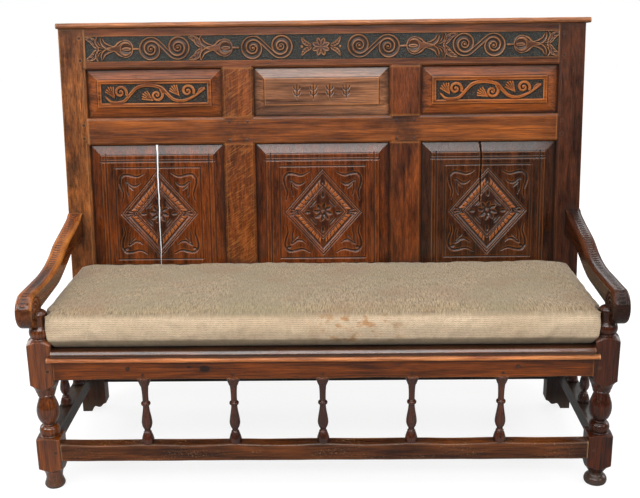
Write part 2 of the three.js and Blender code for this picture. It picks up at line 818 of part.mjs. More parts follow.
function arm(side) {
  const options = { depth: 1, bevelEnabled: false, curveSegments: 3 * arcSteps };
  const geometry = new THREE.ExtrudeGeometry(armOutline(), options);
  const position = geometry.attributes.position;
  for (let i = 0; i < position.count; i += 1) {
    const [y, z, across] = [position.getX(i), position.getY(i), position.getZ(i)];
    const centre = side * (armInner + armWidth / 2 + armLeanAt(y));
    position.setXYZ(i, centre + (across - 1 / 2) * armWidth, y, z);
  }
  const head = turnedRuns(headRunShares, postSize, upperBlockTop, postNeckHeight);
  const headRoom = turned([
    ...head.map((point) => new THREE.Vector2(point.x + gap, point.y)),
    new THREE.Vector2(head[head.length - 1].x + gap, postNeckTop + gap),
  ], postSides);
  headRoom.translate(side * postCentreX, postCentreY, 0);
  const whole = joined(geometry, block(armTenon(side)));
  return cut(whole, headRoom, mortise(postTopTenon(side)));
}

// Cushion

const cushionHalfLength = armInner - cushionSideClearance;

// How far the cushion reaches to a side at a depth, as a share: it narrows to pass between the posts
function cushionReachAt(y) {
  const narrow = postInner - cushionPostClearance;
  const share = THREE.MathUtils.smoothstep(y, postSize, postSize + cushionPostTaper);
  return THREE.MathUtils.lerp(narrow, cushionHalfLength, share) / cushionHalfLength;
}

// One ring of the cushion, drawn in all round by inset, at a height
function cushionRing(inset, z) {
  const front = cushionFrontInset + inset;
  const back = backFaceAt(seatHeight) - cushionBackClearance - inset;
  const centreY = (front + back) / 2;
  const halfDepth = (back - front) / 2;
  const halfLength = cushionHalfLength - inset;
  const radius = Math.max(Math.min(cushionCornerRadius, halfDepth - gap), gap);
  const ring = [];
  const corners = [[1, -1, -Math.PI / 2], [1, 1, 0], [-1, 1, Math.PI / 2], [-1, -1, Math.PI]];
  corners.forEach(([sx, sy, start], c) => {
    for (let i = 0; i <= arcSteps; i += 1) {
      const angle = start + (Math.PI / 2) * (i / arcSteps);
      ring.push([
        sx * (halfLength - radius) + radius * Math.cos(angle),
        centreY + sy * (halfDepth - radius) + radius * Math.sin(angle),
      ]);
    }
    const [nx, ny] = corners[(c + 1) % corners.length];
    const steps = c % 2 === 0 ? cushionShortSteps : cushionLongSteps;
    const from = ring[ring.length - 1];
    const to = c % 2 === 0
      ? [from[0], centreY + ny * (halfDepth - radius)]
      : [nx * (halfLength - radius), from[1]];
    for (let i = 1; i < steps; i += 1) {
      const share = i / steps;
      const bow = cushionSideBow * Math.sin(Math.PI * share);
      const x = THREE.MathUtils.lerp(from[0], to[0], share);
      const y = THREE.MathUtils.lerp(from[1], to[1], share);
      ring.push(c % 2 === 0 ? [x - sx * bow, y] : [x, y - sy * bow]);
    }
  });
  return ring.map(([x, y]) => new THREE.Vector3(x * cushionReachAt(y), y, z));
}

function cushion() {
  const bottom = seatHeight + gap;
  const edgeTop = bottom + cushionThickness;
  const rings = [];
  for (let i = 0; i <= arcSteps; i += 1) {
    const angle = (Math.PI / 2) * (i / arcSteps);
    rings.push(cushionRing(
      cushionEdgeRound * (1 - Math.sin(angle)), bottom + cushionEdgeRound * (1 - Math.cos(angle))));
  }
  rings.push(cushionRing(0, edgeTop - cushionEdgeRound));
  rings.push(cushionRing(cushionEdgeRound / 2, edgeTop - cushionCrown));
  const halfDepth = (backFaceAt(seatHeight) - cushionBackClearance - cushionFrontInset) / 2;
  const crownSteps = arcSteps;
  for (let i = 1; i <= crownSteps; i += 1) {
    const share = i / crownSteps;
    const inset = THREE.MathUtils.lerp(cushionEdgeRound / 2, halfDepth - cushionSideBow * 3, share);
    rings.push(cushionRing(inset, edgeTop - cushionCrown * (1 - share) ** 2));
  }
  return loft(rings);
}

// Assembly

const bench = new THREE.Group();
const back = new THREE.Group();
back.applyMatrix4(backFrame);
bench.add(back);

for (const [name, side] of sides) {
  place(bench, `front_post_${name}`, frontPost(side), oak);
  place(bench, `arm_${name}`, arm(side), oak);
  place(bench, `seat_rail_${name}`, sideMember(side, seatRailBottom, seatRailTop, seatRailBottom), oak);
  const stretcher = sideMember(side, sideStretcherBottom, sideStretcherTop, sideStretcherTop);
  place(bench, `stretcher_${name}`, stretcher, oak);
  place(bench, `seat_bearer_${name}`, bearer(side), oak);
  sideSpindlePlaces(side).forEach(([x, y], i) => {
    const turned = spindle(sideStretcherTop, seatRailBottom);
    place(bench, `spindle_${name}_${i + 1}`, turned, oak).position.set(x, y, 0);
  });
  for (const [joint, x, z] of frontPegPlaces) place(bench, `peg_${joint}_${name}`, pegAt(side * x, z), oak);

  place(back, `rear_post_${name}`, rearPost(side), oak);
  for (const [row, limits] of Object.entries(muntinSpans)) {
    place(back, `muntin_${row}_${name}`, muntin(side, limits), oak);
  }
  for (const [joint, height] of backPegPlaces) {
    place(back, `peg_${joint}_${name}`, pegAt(side * backPegX, height), oak);
  }
}

place(bench, 'seat_rail_front', frontSeatRail(), oak);
place(bench, 'stretcher_front', frontStretcher(), oak);
place(bench, 'stretcher_rear', rearStretcher(), oak);
place(bench, 'seat_bead', seatBead(), oak);
frontSpindlePlaces.forEach(([x, y], i) => {
  place(bench, `spindle_front_${i + 1}`, spindle(stretcherTop, seatRailBottom), oak).position.set(x, y, 0);
});
['front', 'middle', 'rear'].forEach((name, i) => place(bench, `seat_board_${name}`, seatBoard(i), oak));
place(bench, 'cushion', cushion(), fabric);

place(back, 'crest_rail', crestRail(), carvedOak);
place(back, 'middle_rail', backRail(backRails.middle), oak);
place(back, 'seat_rail_rear', rearSeatRail(), oak);
place(back, 'top_capping', capping(), oak);
['left', 'centre', 'right'].forEach((name, i) => {
  const lower = panel(lowerOpenings[i], lowerFieldDepth, lowerCarvedMargin, lowerCarvedDepth);
  const upper = panel(upperOpenings[i], upperFieldDepth, carvedMargin, carvedDepth);
  place(back, `panel_upper_${name}`, upper, panelOak);
  place(back, `panel_lower_${name}`, i === 0 ? cut(lower, splitCutter(lowerOpenings[i])) : lower, panelOak);
});

// The origin is at floor level under the middle of the whole bench
const cappingHeel = new THREE.Vector3(
  0, stileDepth + cappingBackOverhang, stileTop + gap + cappingThickness).applyMatrix4(backFrame);
const foremost = rollCentreY - rollRadius;
bench.position.set(0, -(foremost + cappingHeel.y) / 2, 0);

export default bench;
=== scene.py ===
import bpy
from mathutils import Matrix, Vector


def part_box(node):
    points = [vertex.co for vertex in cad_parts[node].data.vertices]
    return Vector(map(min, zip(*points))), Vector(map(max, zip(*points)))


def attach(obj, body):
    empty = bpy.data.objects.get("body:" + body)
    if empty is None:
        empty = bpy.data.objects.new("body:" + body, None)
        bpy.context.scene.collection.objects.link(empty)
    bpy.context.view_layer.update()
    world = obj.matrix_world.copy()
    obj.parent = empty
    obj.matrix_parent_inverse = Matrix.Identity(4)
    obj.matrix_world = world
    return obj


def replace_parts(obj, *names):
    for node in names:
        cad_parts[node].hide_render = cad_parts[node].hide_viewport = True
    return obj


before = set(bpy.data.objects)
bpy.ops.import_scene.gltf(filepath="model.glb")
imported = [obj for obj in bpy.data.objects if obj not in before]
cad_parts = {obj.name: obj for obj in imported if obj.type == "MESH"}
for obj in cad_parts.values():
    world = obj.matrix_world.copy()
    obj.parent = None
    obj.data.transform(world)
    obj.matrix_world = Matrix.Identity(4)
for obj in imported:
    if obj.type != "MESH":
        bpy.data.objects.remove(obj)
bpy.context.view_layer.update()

import copy
import math

import bpy
import bmesh
import numpy as np
from mathutils import Matrix, Vector
from mathutils.geometry import delaunay_2d_cdt

# Lengths are metres unless a name ends in _MM. Carving is laid out in millimetres.
MM = 0.001
# A distance beyond any that is compared to find the nearest
FAR = 9.0

# What the frame gives
RAIL_LOW, RAIL_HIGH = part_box("seat_rail_front")
POST_LOW, POST_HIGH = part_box("front_post_right")
STILE_LOW, STILE_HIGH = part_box("rear_post_right")
BOARD_LOW, BOARD_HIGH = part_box("seat_board_front")
ARM_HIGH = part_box("arm_right")[1]
CUSHION_LOW, CUSHION_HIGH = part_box("cushion")
STRETCHER_LOW, STRETCHER_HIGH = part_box("stretcher_front")
BEAD_LOW, BEAD_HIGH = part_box("seat_bead")
FRONT_Y = RAIL_LOW.y
BACK_Y = STILE_LOW.y
SEAT_RAIL_BOTTOM = RAIL_LOW.z
POST_INNER = POST_LOW.x
POST_SIZE = POST_HIGH.x - POST_LOW.x
STILE_INNER = STILE_LOW.x
HALF_WIDTH = STILE_HIGH.x

# The back, in its own upright coordinates: X, depth behind its front face, height up the rake
BACK_RAKE = math.radians(6)
REAR_RAIL = 0.111
LOWER_OPENING = 0.445
MIDDLE_RAIL = 0.088
UPPER_OPENING = 0.151
CREST_RAIL = 0.127
MUNTIN = 0.103
STILE_DEPTH = 0.050
OPENING = (2 * STILE_INNER - 2 * MUNTIN) / 3
PITCH = OPENING + MUNTIN
LOWER_MIDDLE = REAR_RAIL + LOWER_OPENING / 2
UPPER_MIDDLE = REAR_RAIL + LOWER_OPENING + MIDDLE_RAIL + UPPER_OPENING / 2
CREST_BOTTOM = REAR_RAIL + LOWER_OPENING + MIDDLE_RAIL + UPPER_OPENING
STILE_TOP = CREST_BOTTOM + CREST_RAIL
FRIEZE_LIFT = 0.025
FRIEZE_HEIGHT = 0.078
FRIEZE_MARGIN = 0.003
FRIEZE_DEPTH = 0.005
BACK = Matrix.Translation((0, BACK_Y, SEAT_RAIL_BOTTOM)) @ Matrix.Rotation(-BACK_RAKE, 4, "X")

SIDES = (("left", -1), ("right", 1))


# Camera: the photograph's viewpoint, fitted to the bench's edges in it

CAMERA_DOWN, CAMERA_TURN, CAMERA_ROLL = 16.86, -0.98, -0.80
CAMERA_PLACE = (0.0425, FRONT_Y - 2.5758, 1.5084)
CAMERA_LENS = 56.3
CAMERA_SENSOR = 36


def place_camera():
    pitch, yaw, roll = (math.radians(angle) for angle in (CAMERA_DOWN, CAMERA_TURN, CAMERA_ROLL))
    ahead = Vector((math.sin(yaw) * math.cos(pitch), math.cos(yaw) * math.cos(pitch), -math.sin(pitch)))
    level = Vector((math.cos(yaw), -math.sin(yaw), 0))
    upright = level.cross(ahead)
    right = math.cos(roll) * level + math.sin(roll) * upright
    up = -math.sin(roll) * level + math.cos(roll) * upright
    data = bpy.data.cameras.new("photo_camera")
    data.sensor_width = CAMERA_SENSOR
    data.lens = CAMERA_LENS
    camera = bpy.data.objects.new("photo_camera", data)
    turn = Matrix((right, up, -ahead)).transposed().to_4x4()
    camera.matrix_world = Matrix.Translation(CAMERA_PLACE) @ turn
    bpy.context.scene.collection.objects.link(camera)
    bpy.context.scene.camera = camera


# Node materials

def srgb(code):
    """A hex colour as linear RGBA."""
    parts = [int(code[i:i + 2], 16) / 255 for i in (0, 2, 4)]
    return (*[c / 12.92 if c <= 0.04045 else ((c + 0.055) / 1.055) ** 2.4 for c in parts], 1)


class Nodes:
    """Short forms for building a node tree."""

    def __init__(self, tree):
        self.tree = tree
        tree.nodes.clear()

    def add(self, kind, **settings):
        node = self.tree.nodes.new(kind)
        for key, value in settings.items():
            setattr(node, key, value)
        return node

    def feed(self, socket, value):
        """Links the socket to another's output, or sets its value."""
        if isinstance(value, bpy.types.NodeSocket):
            self.tree.links.new(value, socket)
        else:
            socket.default_value = value

    def maths(self, operation, a, b=0.0, clamp=False):
        node = self.add("ShaderNodeMath", operation=operation, use_clamp=clamp)
        self.feed(node.inputs[0], a)
        self.feed(node.inputs[1], b)
        return node.outputs[0]

    def times(self, a, b, clamp=False):
        return self.maths("MULTIPLY", a, b, clamp)

    def plus(self, a, b):
        return self.maths("ADD", a, b)

    def minus(self, a, b):
        return self.maths("SUBTRACT", a, b)

    def most(self, a, b):
        return self.maths("MAXIMUM", a, b)

    def span(self, value, low, high, to_low=0.0, to_high=1.0):
        """Maps low..high to to_low..to_high, and stays there beyond."""
        node = self.add("ShaderNodeMapRange", clamp=True)
        for socket, number in zip(node.inputs, (value, low, high, to_low, to_high)):
            self.feed(socket, number)
        return node.outputs[0]

    def coords(self, kind):
        return self.add("ShaderNodeTexCoord").outputs[kind]

    def split(self, vector):
        """A vector's three parts."""
        node = self.add("ShaderNodeSeparateXYZ")
        self.feed(node.inputs[0], vector)
        return node.outputs

    def mirrored(self, rays):
        """Whether a ray comes from a shiny or clear surface."""
        return self.most(rays.outputs["Is Glossy Ray"], rays.outputs["Is Transmission Ray"])


class Shader(Nodes):
    """A material with one surface shader, and short forms for its patterns."""

    def __init__(self, name):
        self.material = bpy.data.materials.new(name)
        self.material.use_nodes = True
        super().__init__(self.material.node_tree)
        self.surface = self.add("ShaderNodeBsdfPrincipled")
        output = self.add("ShaderNodeOutputMaterial")
        self.feed(output.inputs["Surface"], self.surface.outputs[0])

    def mix(self, share, a, b, blend="MIX"):
        node = self.add("ShaderNodeMix", data_type="RGBA", blend_type=blend)
        self.feed(node.inputs[0], share)
        self.feed(node.inputs[6], a)
        self.feed(node.inputs[7], b)
        return node.outputs[2]

    def tint(self, share, colour, code, strength=None):
        """The colour with that share of a hex tone over it."""
        if strength is not None:
            share = self.times(share, strength, clamp=True)
        return self.mix(share, colour, srgb(code))

    def place(self, scale, shift=(0, 0, 0)):
        """The object's own coordinates, scaled and shifted."""
        mapping = self.add("ShaderNodeMapping")
        self.feed(mapping.inputs["Vector"], self.coords("Object"))
        mapping.inputs["Scale"].default_value = scale
        mapping.inputs["Location"].default_value = shift
        return mapping.outputs[0]

    def noise(self, vector, detail, rough, distortion=0.0):
        node = self.add("ShaderNodeTexNoise")
        self.feed(node.inputs["Vector"], vector)
        node.inputs["Scale"].default_value = 1.0
        node.inputs["Detail"].default_value = detail
        node.inputs["Roughness"].default_value = rough
        node.inputs["Distortion"].default_value = distortion
        return node.outputs[0]

    def grey(self, value):
        """A grey colour of that brightness."""
        node = self.add("ShaderNodeCombineColor")
        for socket in node.inputs:
            self.feed(socket, value)
        return node.outputs[0]

    def joint_dirt(self, axis, patch, joints):
        """How near a point is to its piece's ends and long edges, or to a joint at an X, in patches."""
        found = None
        for place, name in zip(self.split(self.coords("Generated")), "XYZ"):
            if name == "Y" and axis != "Y":
                continue
            inside = self.maths("MINIMUM", place, self.minus(1.0, place))
            near = self.span(inside, 0.0, 0.07 if name == axis else 0.13, 1.0, 0.0)
            found = near if found is None else self.most(found, near)
        here = self.split(self.coords("Object"))
        for x in joints:
            away = self.maths("ABSOLUTE", self.minus(here[0], x))
            found = self.most(found, self.span(away, 0.03, 0.10, 1.0, 0.0))
        return self.times(found, self.span(patch, 0.36, 0.62))

    def attribute(self, name):
        return self.add("ShaderNodeAttribute", attribute_name=name).outputs["Fac"]

    def occlusion(self, distance, inside=False):
        node = self.add("ShaderNodeAmbientOcclusion", inside=inside, samples=6)
        node.inputs["Distance"].default_value = distance
        return node.outputs["AO"]

    def bump(self, height, strength, distance, after=None):
        node = self.add("ShaderNodeBump")
        node.inputs["Strength"].default_value = strength
        node.inputs["Distance"].default_value = distance
        self.feed(node.inputs["Height"], height)
        if after is not None:
            self.feed(node.inputs["Normal"], after)
        return node.outputs[0]


def stretched(axis, across, along):
    """Texture scales that draw a pattern out along an axis."""
    return tuple(along if name == axis else across for name in "XYZ")


# Tones that every oak finish shares
PORE_TONE = "1c0d07"
JOINT_TONE = "1a0d07"
CORNER_SHADE_AND_DIRT_TONE = "120a06"
KNOT_TONE = "160b06"
SHADE_TONE = "1c120c"
SCUFF_TONE = "5a4c42"
FIELD_TONE = "200e08"
PAD_TONE = "bc6830"

RAY_SLANT = math.radians(-34)
# Heights between which the stiles get painted shade under the seat, and the feet get scuffed
SHADE_LEVELS = (0.42, 0.32)
SCUFF_LEVELS = (0.055, 0.01)
EDGE_REACH = 0.005
CORNER_REACH = 0.03


def grain(s, axis, shift, dark, light):
    """The wood itself: broad bands and streaks between two tones, fine lines and pores."""
    broad = s.noise(s.place(stretched(axis, 15, 2.4), shift), 3.0, 0.6, 0.6)
    streaks = s.noise(s.place(stretched(axis, 80, 4.5), shift), 5.0, 0.64, 0.4)
    fine = s.noise(s.place(stretched(axis, 330, 10), shift), 2.0, 0.6)
    pores = s.noise(s.place(stretched(axis, 900, 28), shift), 1.0, 0.5)
    tone = s.plus(s.times(s.span(broad, 0.36, 0.62), 0.5), s.times(s.span(streaks, 0.36, 0.64), 0.5))
    colour = s.mix(tone, srgb(dark), srgb(light))
    colour = s.mix(1.0, colour, s.grey(s.span(fine, 0.34, 0.66, 0.6, 1.3)), "MULTIPLY")
    pores = s.span(pores, 0.58, 0.68)
    return s.tint(s.times(pores, 0.5), colour, PORE_TONE), streaks, pores


def ray_figure(s, colour, strength, pale, dark):
    """Slanting flames of pale and dark figure, as quartered oak shows."""
    slanted = s.add("ShaderNodeMapping", vector_type="TEXTURE")
    s.feed(slanted.inputs["Vector"], s.coords("Object"))
    slanted.inputs["Rotation"].default_value = (0, RAY_SLANT, 0)
    slanted.inputs["Scale"].default_value = (1 / 34, 1 / 60, 1 / 310)
    flame = s.noise(slanted.outputs[0], 2.0, 0.5, 0.8)
    colour = s.tint(s.span(flame, 0.53, 0.62, 0.0, strength), colour, pale)
    return s.tint(s.span(flame, 0.47, 0.38, 0.0, 0.7 * strength), colour, dark)


def knot_mark(s, colour, where, streaks, knot):
    """A dark knot at (x, z, radius), longer along X and ragged with the grain."""
    x, z, radius = knot
    dx, dz = s.times(s.minus(where[0], x), 0.6), s.minus(where[2], z)
    away = s.maths("SQRT", s.plus(s.times(dx, dx), s.times(dz, dz)))
    reach = s.plus(away, s.times(streaks, radius))
    return s.tint(s.span(reach, 1.15 * radius, 1.4 * radius, 0.85, 0.0), colour, KNOT_TONE)


# The sunk tone colours the painted shade in cuts; one strength scales that and the corners' painted shade and
# dirt
def oak(name, axis, dark, light, worn, seed, gloss=0.32, wear=1.0, shade_and_dirt=1.0, ray=0.0, ends=0.7,
        sunk="140b08", stipple=None, carved=False, joints=(), shade=0.0, coat=0.3, flecks=0.0, knots=()):
    """Old waxed oak with its grain along an axis: pale edges, grimy ends and joints, painted shade in corners
    and cuts.
    """
    s = Shader(name)
    shift = (seed * 1.7, seed * 2.3, seed * 3.1)
    colour, streaks, pores = grain(s, axis, shift, dark, light)
    if ray:
        colour = ray_figure(s, colour, ray, worn, dark)
    ground = s.attribute("ground") if carved else None
    if carved and not stipple:
        colour = s.tint(s.span(ground, 0.0, 1.0, 0.0, 0.6), colour, FIELD_TONE)
        colour = s.tint(s.span(ground, 0.0, -1.0, 0.0, 0.5), colour, PAD_TONE)
    patch = s.noise(s.place((11, 11, 11), shift), 4.0, 0.7)
    colour = s.tint(s.times(s.joint_dirt(axis, patch, joints), ends), colour, JOINT_TONE)
    cavity = s.attribute("cavity")
    edge = 0.0 if carved else s.span(s.occlusion(EDGE_REACH, inside=True), 0.92, 0.5)
    lift = s.most(s.times(edge, 0.9), s.span(cavity, 0.15, 0.8))
    lift = s.times(lift, s.span(patch, 0.34, 0.6, 0.3, 1.0))
    colour = s.tint(lift, colour, worn, 0.75 * wear)
    # Painted shade, with dirt, in corners and hollows, from occlusion
    hollow = s.span(s.occlusion(CORNER_REACH), 0.3, 0.95, 1.0, 0.0)
    colour = s.tint(hollow, colour, CORNER_SHADE_AND_DIRT_TONE, 0.85 * shade_and_dirt)
    # Painted shade in cuts and punch marks, in the sunk tone
    recess_shade = s.span(cavity, -0.12, -0.75)
    colour = s.tint(recess_shade, colour, sunk, 0.85 * shade_and_dirt)
    if stipple:
        # The punched ground's dark tone, with pale specks as painted glints of the punch marks
        glint_specks = s.noise(s.place((420, 420, 420), shift), 2.0, 0.7)
        punched = s.mix(s.span(glint_specks, 0.5, 0.66), srgb(stipple[0]), srgb(stipple[1]))
        colour = s.mix(s.times(ground, 0.95), colour, punched)
        recess_shade = s.most(recess_shade, ground)
    if flecks:
        fleck = s.span(s.noise(s.place((230, 230, 330), shift), 2.0, 0.7), 0.60, 0.66)
        strewn = s.span(s.noise(s.place((6, 6, 30), shift), 2.0, 0.6), 0.5, 0.62, 0.0, flecks)
        colour = s.tint(s.times(fleck, strewn), colour, worn)
    where = s.split(s.add("ShaderNodeNewGeometry").outputs["Position"])
    colour = s.tint(s.span(where[2], *SHADE_LEVELS, 0.0, shade), colour, SHADE_TONE)
    for knot in knots:
        colour = knot_mark(s, colour, where, streaks, knot)
    scuffed = s.times(s.span(where[2], *SCUFF_LEVELS), s.span(patch, 0.35, 0.6, 0.3, 0.8))
    colour = s.tint(scuffed, colour, SCUFF_TONE)
    s.feed(s.surface.inputs["Base Color"], colour)
    rough = s.span(streaks, 0.3, 0.7, gloss - 0.06, gloss + 0.14)
    rough = s.plus(rough, s.times(s.most(hollow, recess_shade), 0.4))
    s.feed(s.surface.inputs["Roughness"], rough)
    s.surface.inputs["Specular IOR Level"].default_value = 0.27
    s.surface.inputs["Coat Weight"].default_value = coat
    s.surface.inputs["Coat Roughness"].default_value = 0.11
    relief = s.minus(s.times(streaks, 0.8), s.times(pores, 0.7))
    wave = s.noise(s.place((26, 26, 26), shift), 2.0, 0.5)
    normal = s.bump(wave, 0.35, 0.003)
    s.feed(s.surface.inputs["Normal"], s.bump(relief, 0.5, 0.0006, normal))
    return s.material


# Tones of the cushion's cover, its painted shade at the foot of the border and in nooks, and its weave per
# metre
TOP_THREADS = ("695842", "bea787")
TOP_FADED, TOP_STAIN = "8c8266", "8e7258"
BORDER_THREADS = ("c4aa8c", "f0d8b8")
BORDER_FADED, BORDER_RUST = "c4a886", "b8804c"
ROW_TONE, LOWER_BORDER_SHADE_TONE, NOOK_SHADE_TONE = "4a3c2a", "5c4f39", "3b3020"
ZIGZAGS, WEAVE_ROWS = 112.0, 184.0
RUST_X = 0.10


def cushion_cloth():
    """Stone-coloured woven cover: zigzag rows on the border, streaks on top, faded and stained, with painted
    shade low on the border and in nooks.
    """
    s = Shader("cushion_cover")
    x, y, z = s.split(s.coords("Object"))
    border = s.attribute("border")
    faded = s.noise(s.place((3.5, 3.5, 3.5)), 3.0, 0.6)
    stain = s.noise(s.place((7, 7, 7), (3, 1, 0)), 2.0, 0.5)
    streak = s.noise(s.place((460, 46, 46)), 3.0, 0.7, 0.2)
    thread = s.noise(s.place((900, 900, 900)), 1.0, 0.5)
    zig = s.maths("PINGPONG", s.times(x, ZIGZAGS), 0.5)
    level = s.minus(z, s.times(y, s.minus(1.0, border)))
    phase = s.plus(s.times(level, WEAVE_ROWS), s.times(zig, 0.55))
    rows = s.maths("SINE", s.times(phase, 2 * math.pi))
    top = s.mix(s.span(streak, 0.36, 0.64), *map(srgb, TOP_THREADS))
    top = s.tint(s.span(faded, 0.40, 0.60, 0.0, 0.5), top, TOP_FADED)
    top = s.tint(s.span(stain, 0.52, 0.66, 0.0, 0.4), top, TOP_STAIN)
    side = s.mix(s.span(thread, 0.3, 0.7), *map(srgb, BORDER_THREADS))
    side = s.tint(s.span(faded, 0.42, 0.66, 0.0, 0.35), side, BORDER_FADED)
    blot = s.noise(s.place((26, 26, 40), (2, 0, 5)), 3.0, 0.6)
    rust = s.span(s.maths("ABSOLUTE", s.minus(x, RUST_X)), 0.06, 0.16, 0.75, 0.0)
    side = s.tint(s.times(rust, s.span(blot, 0.52, 0.64)), side, BORDER_RUST)
    colour = s.mix(border, top, side)
    uneven = s.span(s.noise(s.place((90, 60, 60)), 2.0, 0.6), 0.36, 0.6, 0.25, 1.3)
    strength = s.times(s.plus(0.12, s.times(border, 0.22)), uneven)
    colour = s.tint(s.times(s.span(rows, -0.25, -0.85), strength), colour, ROW_TONE)
    # Painted shade on the lowest part of the border
    lower_border_shade = s.span(z, CUSHION_LOW.z + 0.029, CUSHION_LOW.z + 0.022, 0.0, 0.66)
    colour = s.tint(lower_border_shade, colour, LOWER_BORDER_SHADE_TONE)
    # Painted shade in nooks, from occlusion
    nook_shade = s.span(s.occlusion(CORNER_REACH), 0.2, 0.95, 0.5, 0.0)
    s.feed(s.surface.inputs["Base Color"], s.tint(nook_shade, colour, NOOK_SHADE_TONE))
    s.surface.inputs["Roughness"].default_value = 0.95
    s.surface.inputs["Sheen Weight"].default_value = 0.15
    s.surface.inputs["Sheen Roughness"].default_value = 0.5
    s.surface.inputs["Specular IOR Level"].default_value = 0.15
    height = s.plus(s.times(streak, 0.8), s.times(rows, 0.25))
    height = s.plus(height, s.times(thread, 0.4))
    s.feed(s.surface.inputs["Normal"], s.bump(height, 0.6, 0.0010))
    return s.material


# Mesh pieces

def new_object(name, vertices, faces, material, body="bench_frame", matrix=None):
    """A smooth-shaded piece that rides a body."""
    mesh = bpy.data.meshes.new(name)
    mesh.from_pydata([tuple(v) for v in vertices], [], [tuple(f) for f in faces])
    if matrix is not None:
        mesh.transform(matrix)
    mesh.validate()
    mesh.materials.append(material)
    mesh.polygons.foreach_set("use_smooth", [True] * len(mesh.polygons))
    obj = bpy.data.objects.new(name, mesh)
    bpy.context.scene.collection.objects.link(obj)
    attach(obj, body)
    return obj


def set_attribute(obj, name, values):
    """Gives each vertex a value that a material can read."""
    attribute = obj.data.attributes.new(name, "FLOAT", "POINT")
    attribute.data.foreach_set("value", np.asarray(values, np.float32))


def smooth_path(points, steps):
    """A Catmull-Rom curve through the points, with that many steps between two of them."""
    p = np.asarray(points, float)
    p = np.vstack([2 * p[0] - p[1], p, 2 * p[-1] - p[-2]])
    t = np.linspace(0, 1, steps, endpoint=False)[:, None]
    out = []
    for a, b, c, d in zip(p[:-3], p[1:-2], p[2:-1], p[3:]):
        out.append(0.5 * (2 * b + (c - a) * t + (2 * a - 5 * b + 4 * c - d) * t**2
                          + (3 * b - a - 3 * c + d) * t**3))
    return np.vstack([*out, p[-2]])


def wobble(points, scale, seed):
    """A smooth value near -1 to 1 for each point, from sums of sines."""
    points = np.asarray(points, float)
    rng = np.random.default_rng(seed)
    total = np.zeros(len(points))
    for _ in range(9):
        direction = rng.normal(size=points.shape[1]) * scale
        total += np.sin(points @ direction + rng.uniform(0, 2 * math.pi))
    return total / 4


def tube_faces(rings, count):
    """Quads between following rings of count points each, and the two faces that close the ends."""
    quads = []
    for k in range(rings - 1):
        for i in range(count):
            j = (i + 1) % count
            quads.append((k * count + i, k * count + j, (k + 1) * count + j, (k + 1) * count + i))
    return quads, [tuple(reversed(range(count))), tuple(range((rings - 1) * count, rings * count))]


# Turned work: rings of radius against height, each limited to the square stock where the piece has one

SQUARE_POWER = 26
SQUARE_EASE = 0.0005
TURNING_SHAKE = 0.006


def turned(name, profile, centre, material, square, segments):
    """A turned piece from (height, radius) pairs. A square of that size leaves its blocks square."""
    profile = np.asarray(profile, float)
    angles = np.arange(segments) * 2 * math.pi / segments
    radius = np.repeat(profile[:, 1:2], segments, axis=1)
    if square:
        power = SQUARE_POWER
        block = square / 2 / (np.abs(np.cos(angles))**power + np.abs(np.sin(angles))**power)**(1 / power)
        gap = np.abs(radius - block)
        radius = np.minimum(radius, block) - SQUARE_EASE * np.log1p(np.exp(-gap / SQUARE_EASE))
    height = np.repeat(profile[:, 0:1], segments, axis=1)
    ring = np.stack([radius * np.cos(angles), radius * np.sin(angles), height], axis=-1).reshape(-1, 3)
    shake = wobble(ring, 38, len(name))
    ring[:, :2] *= 1 + TURNING_SHAKE * shake[:, None]
    quads, ends = tube_faces(len(profile), segments)
    return new_object(name, ring + np.array(centre), quads + ends, material)


def run_profile(runs, radius, bottom, height, steps=9):
    """Curves through (radius share, height share) points, one for each run, as (height, radius) pairs."""
    out = []
    for run in runs:
        path = smooth_path(run, steps) if len(run) > 2 else np.linspace(run[0], run[-1], 4)
        out.append(np.stack([bottom + path[:, 1] * height, path[:, 0] * radius], axis=1))
    return np.vstack(out)


CORNER_SHARE = 0.74
FOOT_SHARES = {
    "right": [[[0.36, 0], [0.44, 0.05], [0.478, 0.17], [0.44, 0.31], [0.33, 0.42], [0.30, 0.50],
               [0.33, 0.58], [0.42, 0.72], [0.56, 0.88], [CORNER_SHARE, 1]]],
    "left": [[[0.37, 0], [0.40, 0.04], [0.43, 0.12], [0.39, 0.26], [0.345, 0.40], [0.35, 0.52],
              [0.38, 0.66], [0.45, 0.80], [0.57, 0.91], [CORNER_SHARE, 1]]],
}
WAIST_SHARES = [
    [[CORNER_SHARE, 0], [0.62, 0.012], [0.50, 0.024], [0.42, 0.032]],
    [[0.36, 0.036], [0.40, 0.06], [0.425, 0.115], [0.40, 0.17], [0.33, 0.205], [0.27, 0.218]],
    [[0.245, 0.224], [0.245, 0.24]],
    [[0.27, 0.25], [0.36, 0.29], [0.44, 0.37], [0.468, 0.455], [0.45, 0.54], [0.39, 0.62], [0.33, 0.69],
     [0.30, 0.73]],
    [[0.33, 0.735], [0.36, 0.755], [0.34, 0.775]],
    [[0.375, 0.78], [0.41, 0.82], [0.46, 0.88], [0.57, 0.945], [CORNER_SHARE, 1]],
]
HEAD_SHARES = [
    [[CORNER_SHARE, 0], [0.62, 0.08], [0.50, 0.15], [0.41, 0.19]],
    [[0.375, 0.205], [0.43, 0.27], [0.457, 0.36], [0.43, 0.47], [0.365, 0.555]],
    [[0.345, 0.57], [0.335, 0.72], [0.34, 0.87], [0.31, 0.95], [0.24, 1.0]],
]
POST_LEVELS = {"lower_block": (0.070, 0.160), "upper_block": (0.3347, 0.447), "neck_top": 0.545}


